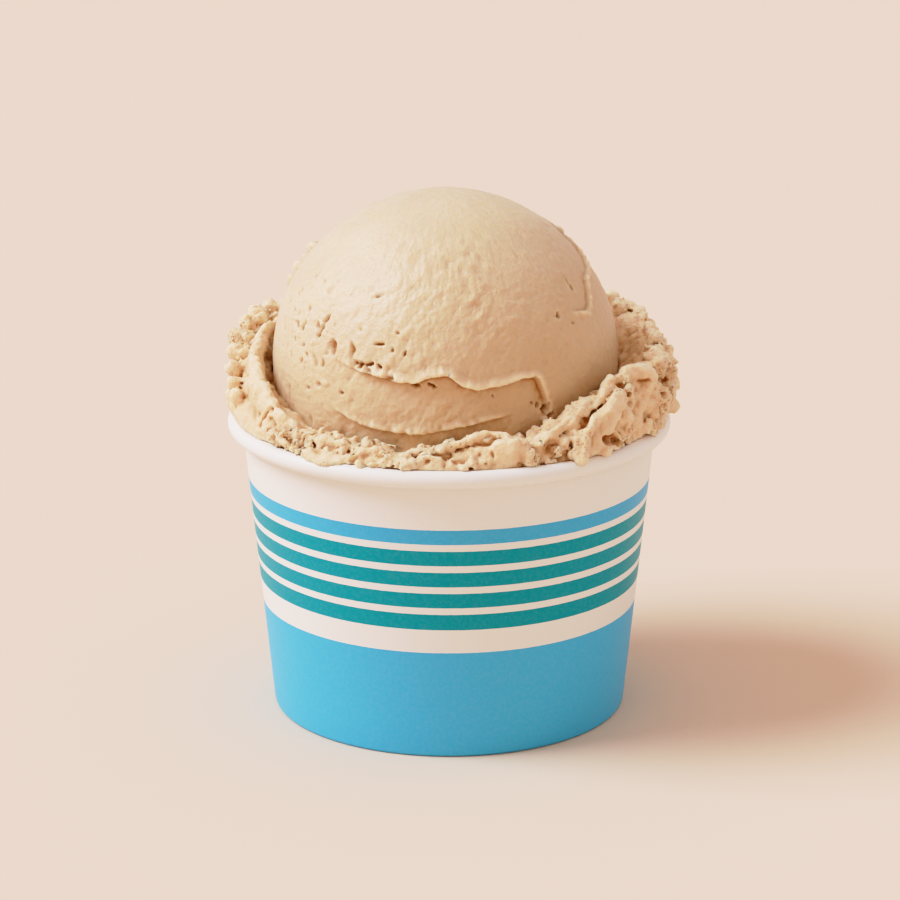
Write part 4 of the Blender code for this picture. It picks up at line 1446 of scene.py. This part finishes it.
# %% [markdown]
# ## The paper cup
#
# The cup is made of coated board less than half a millimetre thick. Its wall is wrapped round a cone
# and overlaps itself in a glued seam, which is turned to the back here. The rim is rolled outwards into
# a bead that stiffens it, and the foot is turned in round the skirt of the base. One line through the
# middle of the paper is thickened, so that the paper shows its true edge. A Geometry Nodes tree carries
# this profile round a circle. The profile is drawn flat, as its distance from the circle and its depth
# below the floor, because that is how the tree stands it up. Then the seam's step and a faint unevenness
# are pressed into the turned wall.

# %% Wall and base of the cup
CUP_COLUMNS = 320
CURL_END = -118.0
FOLD_HEIGHT = 4.6
FOOT_BEND = 0.45
SEAM_AT = 96.0
SEAM_STEP = 0.28
SEAM_REACH = 20.0
AXLE = 10.0
SWAY, SWAY_SIZE, SWAY_SEED = 0.05, 26.0, 71
SWAY_FROM, SWAY_OVER = 8.0, 40.0
CURL_STEPS, WALL_STEPS, FOOT_STEPS, BEND_STEPS = 28, 12, 6, 5
BELOW_CURL, ABOVE_FOOT = 1.2, 0.6
BASE_BEND = 0.6
BASE_FLAT = [(0.02, RECESS), (20.0, RECESS), (26.4, RECESS), (27.4, RECESS - 0.25)]


def arc(centre, radius, start, end, count):
    """Points (radius, height) on an arc, from one angle in degrees to another."""
    angles = np.radians(np.linspace(start, end, count + 1))
    return np.column_stack([centre[0] + radius * np.cos(angles), centre[1] + radius * np.sin(angles)])


def thickened(line, thickness):
    """A closed outline: the line shifted to one side, and back along its other side."""
    ahead = np.gradient(line, axis=0)
    ahead /= np.linalg.norm(ahead, axis=1, keepdims=True)
    side = np.column_stack([-ahead[:, 1], ahead[:, 0]]) * thickness / 2
    return np.concatenate([line + side, (line - side)[::-1]])


def turning_tree():
    """Geometry Nodes: carry a closed profile round a level circle, and give it a material."""
    tree, given = new_tree("turned profile", [
        ("Profile", "Geometry"), ("Columns", "Int"), ("Circle radius", "Float"), ("Material", "Material"),
    ])
    profile = add_node(tree, "GeometryNodeMeshToCurve", inputs={"Mesh": given["Profile"]})
    circle = add_node(tree, "GeometryNodeCurvePrimitiveCircle", {"mode": "RADIUS"},
                      {"Resolution": given["Columns"], "Radius": given["Circle radius"]})
    level = add_node(tree, "GeometryNodeSetCurveNormal", {"mode": "Z_UP"},
                     {"Curve": circle.outputs["Curve"]})
    carried = add_node(tree, "GeometryNodeCurveToMesh",
                       inputs={"Curve": level.outputs["Curve"], "Profile Curve": profile.outputs["Curve"]})
    finish_tree(tree, carried.outputs["Mesh"], given["Material"])
    return tree


def turned(outline, name, material):
    """Turn a closed outline round the axis, with the step of the glued seam and a slightly uneven rim."""
    profile = np.column_stack([outline[:, 0] - AXLE, -outline[:, 1], np.zeros(len(outline))])
    edges = [(i, (i + 1) % len(outline)) for i in range(len(outline))]
    piece = add_mesh(name, profile, [], edges)
    run_tree(piece, turning_tree(), {
        "Columns": CUP_COLUMNS, "Circle radius": AXLE * MM, "Material": material,
    })
    places = mesh_values(piece.data.vertices, "co", 3) / MM
    radius = np.hypot(places[:, 0], places[:, 1])
    behind = (np.degrees(np.arctan2(places[:, 1], places[:, 0])) - SEAM_AT) % 360
    seam = SEAM_STEP * np.clip(1 - behind / SEAM_REACH, 0, 1)
    sway = SWAY * noise(places * [1.0, 1.0, 0.0], SWAY_SIZE, SWAY_SEED)
    free = np.clip((places[:, 2] - SWAY_FROM) / SWAY_OVER, 0, 1)
    places[:, :2] *= (1 + (0.5 * seam + sway) * free / radius)[:, None]
    piece.data.vertices.foreach_set("co", (places * MM).ravel())
    return piece


def wall_middle(height):
    """Radius of the middle of the wall's paper."""
    return FOOT_RADIUS - PAPER / 2 + WALL_FLARE * height


def build_wall(material):
    """Rolled rim, flaring wall and turned-in foot as one sheet of paper."""
    curl = arc((CURL_AXIS, CURL_HEIGHT), CURL_RADIUS - PAPER / 2, CURL_END, 180.0, CURL_STEPS)
    heights = np.linspace(CURL_HEIGHT - BELOW_CURL, FOOT_BEND + ABOVE_FOOT, WALL_STEPS)
    wall = np.column_stack([wall_middle(heights), heights])
    fold = wall_inside(0.0) - PAPER - GAP - PAPER / 2
    outer = arc((wall_middle(0) - FOOT_BEND, PAPER / 2 + FOOT_BEND), FOOT_BEND, 0, -90, FOOT_STEPS)
    inner = arc((fold + FOOT_BEND, PAPER / 2 + FOOT_BEND), FOOT_BEND, -90, -180, FOOT_STEPS)
    top = [(fold + WALL_FLARE * FOLD_HEIGHT, FOLD_HEIGHT)]
    line = np.concatenate([curl, wall, outer, inner, top])
    return turned(thickened(line, PAPER), "cup_paper_wall", material)


def build_base(material):
    """The round base, set up inside the wall, with its skirt turned down into the fold."""
    skirt_end = PAPER + GAP
    skirt = wall_inside(skirt_end) - PAPER / 2
    skirt_top = skirt + WALL_FLARE * (RECESS - skirt_end)
    bend = arc((skirt_top - BASE_BEND, RECESS - BASE_BEND), BASE_BEND, 90, 0, BEND_STEPS)
    line = np.concatenate([BASE_FLAT, bend, [(skirt, skirt_end)]])
    return turned(thickened(line, PAPER), "cup_paper_base", material)


declare(build_wall(printed_board("coated cup board, printed")), "cup_wall")
declare(build_base(board_shader("coated cup board, plain")[0]), "cup_base")

# %% [markdown]
# ## Stage, light and camera
#
# The cup stands on a plain pale peach sweep under one large soft lamp at the upper left. A weak cool
# reflector stands on the right, and warm fill comes from all round. The camera looks down on it a
# little, from the photograph's angle and distance, with a long lens. Its focus is sharp everywhere. A
# film-like tone curve holds back the brightest parts and deepens the shade, as the photograph's does:
# it maps light in the scene to light on the screen.

# %% Stage, light and camera
CAMERA_DISTANCE = 600.0
CAMERA_ELEVATION = 16.62
LOOK_AT_HEIGHT = 43.97
PICTURE_SCALE = 5.899
PICTURE_PIXELS = 900
AXIS_PIXEL = 449.17
SWEEP_HALF = 4.0
SWEEP_SHADER = {"Base Color": colour("F0D6C0"), "Roughness": 0.9, "Specular IOR Level": 0.1}
LAMPS = [
    ("softbox", (-0.7, -0.085, 0.709), 32.0, 4.05, "DDEDFC"),
    ("reflector", (0.82, 0.1, 0.45), 80.0, 0.5, "66D8FF"),
]
WARM_FILL, FILL_STRENGTH = "FFDFD0", 0.98
BRIGHTEST = 3.5
TONE_CURVE = [
    (0.028, 0.004), (0.07, 0.026), (0.183, 0.112), (0.49, 0.35), (1.0, 0.68), (1.8, 0.9), (2.6, 0.97),
]

corners = [(x * SWEEP_HALF, y * SWEEP_HALF, 0) for x, y in [(-1, -1), (1, -1), (1, 1), (-1, 1)]]
stage_mesh = bpy.data.meshes.new("sweep")
stage_mesh.from_pydata(corners, [], [(0, 1, 2, 3)])
stage_mesh.materials.append(new_material("pale peach paper sweep", SWEEP_SHADER)[0])
sweep = bpy.data.objects.new("sweep", stage_mesh)
scene.collection.objects.link(sweep)


def add_lamp(name, from_direction, angle, energy, hex_value):
    """A distant soft lamp, shining from a direction, as wide as an angle in degrees."""
    lamp = bpy.data.lights.new(name, "SUN")
    lamp.color = colour(hex_value)[:3]
    lamp.energy = energy
    lamp.angle = math.radians(angle)
    lamp_object = bpy.data.objects.new(name, lamp)
    lamp_object.rotation_euler = (-Vector(from_direction)).to_track_quat("-Z", "Y").to_euler()
    scene.collection.objects.link(lamp_object)


for lamp_settings in LAMPS:
    add_lamp(*lamp_settings)

world = bpy.data.worlds.new("warm fill")
world.use_nodes = True
background = world.node_tree.nodes["Background"]
background.inputs["Color"].default_value = colour(WARM_FILL)
background.inputs["Strength"].default_value = FILL_STRENGTH
scene.world = world

scene.view_settings.view_transform = "Standard"
scene.view_settings.use_curve_mapping = True
tone = scene.view_settings.curve_mapping
tone.white_level = (BRIGHTEST, BRIGHTEST, BRIGHTEST)
tone_points = tone.curves[3].points
tone_points[1].location = (1.0, 1.0)
for scene_light, shown_light in TONE_CURVE:
    tone_points.new(scene_light / BRIGHTEST, shown_light)
tone.update()

camera = bpy.data.cameras.new("camera")
camera.sensor_width = 36.0
camera.lens = camera.sensor_width * PICTURE_SCALE * CAMERA_DISTANCE / PICTURE_PIXELS
camera_object = bpy.data.objects.new("camera", camera)
tilt = math.radians(CAMERA_ELEVATION)
sideways = (PICTURE_PIXELS / 2 - AXIS_PIXEL) / PICTURE_SCALE
camera_object.location = (
    sideways * MM,
    -CAMERA_DISTANCE * math.cos(tilt) * MM,
    (LOOK_AT_HEIGHT + CAMERA_DISTANCE * math.sin(tilt)) * MM,
)
camera_object.rotation_euler = (math.pi / 2 - tilt, 0, 0)
scene.collection.objects.link(camera_object)
scene.camera = camera_object
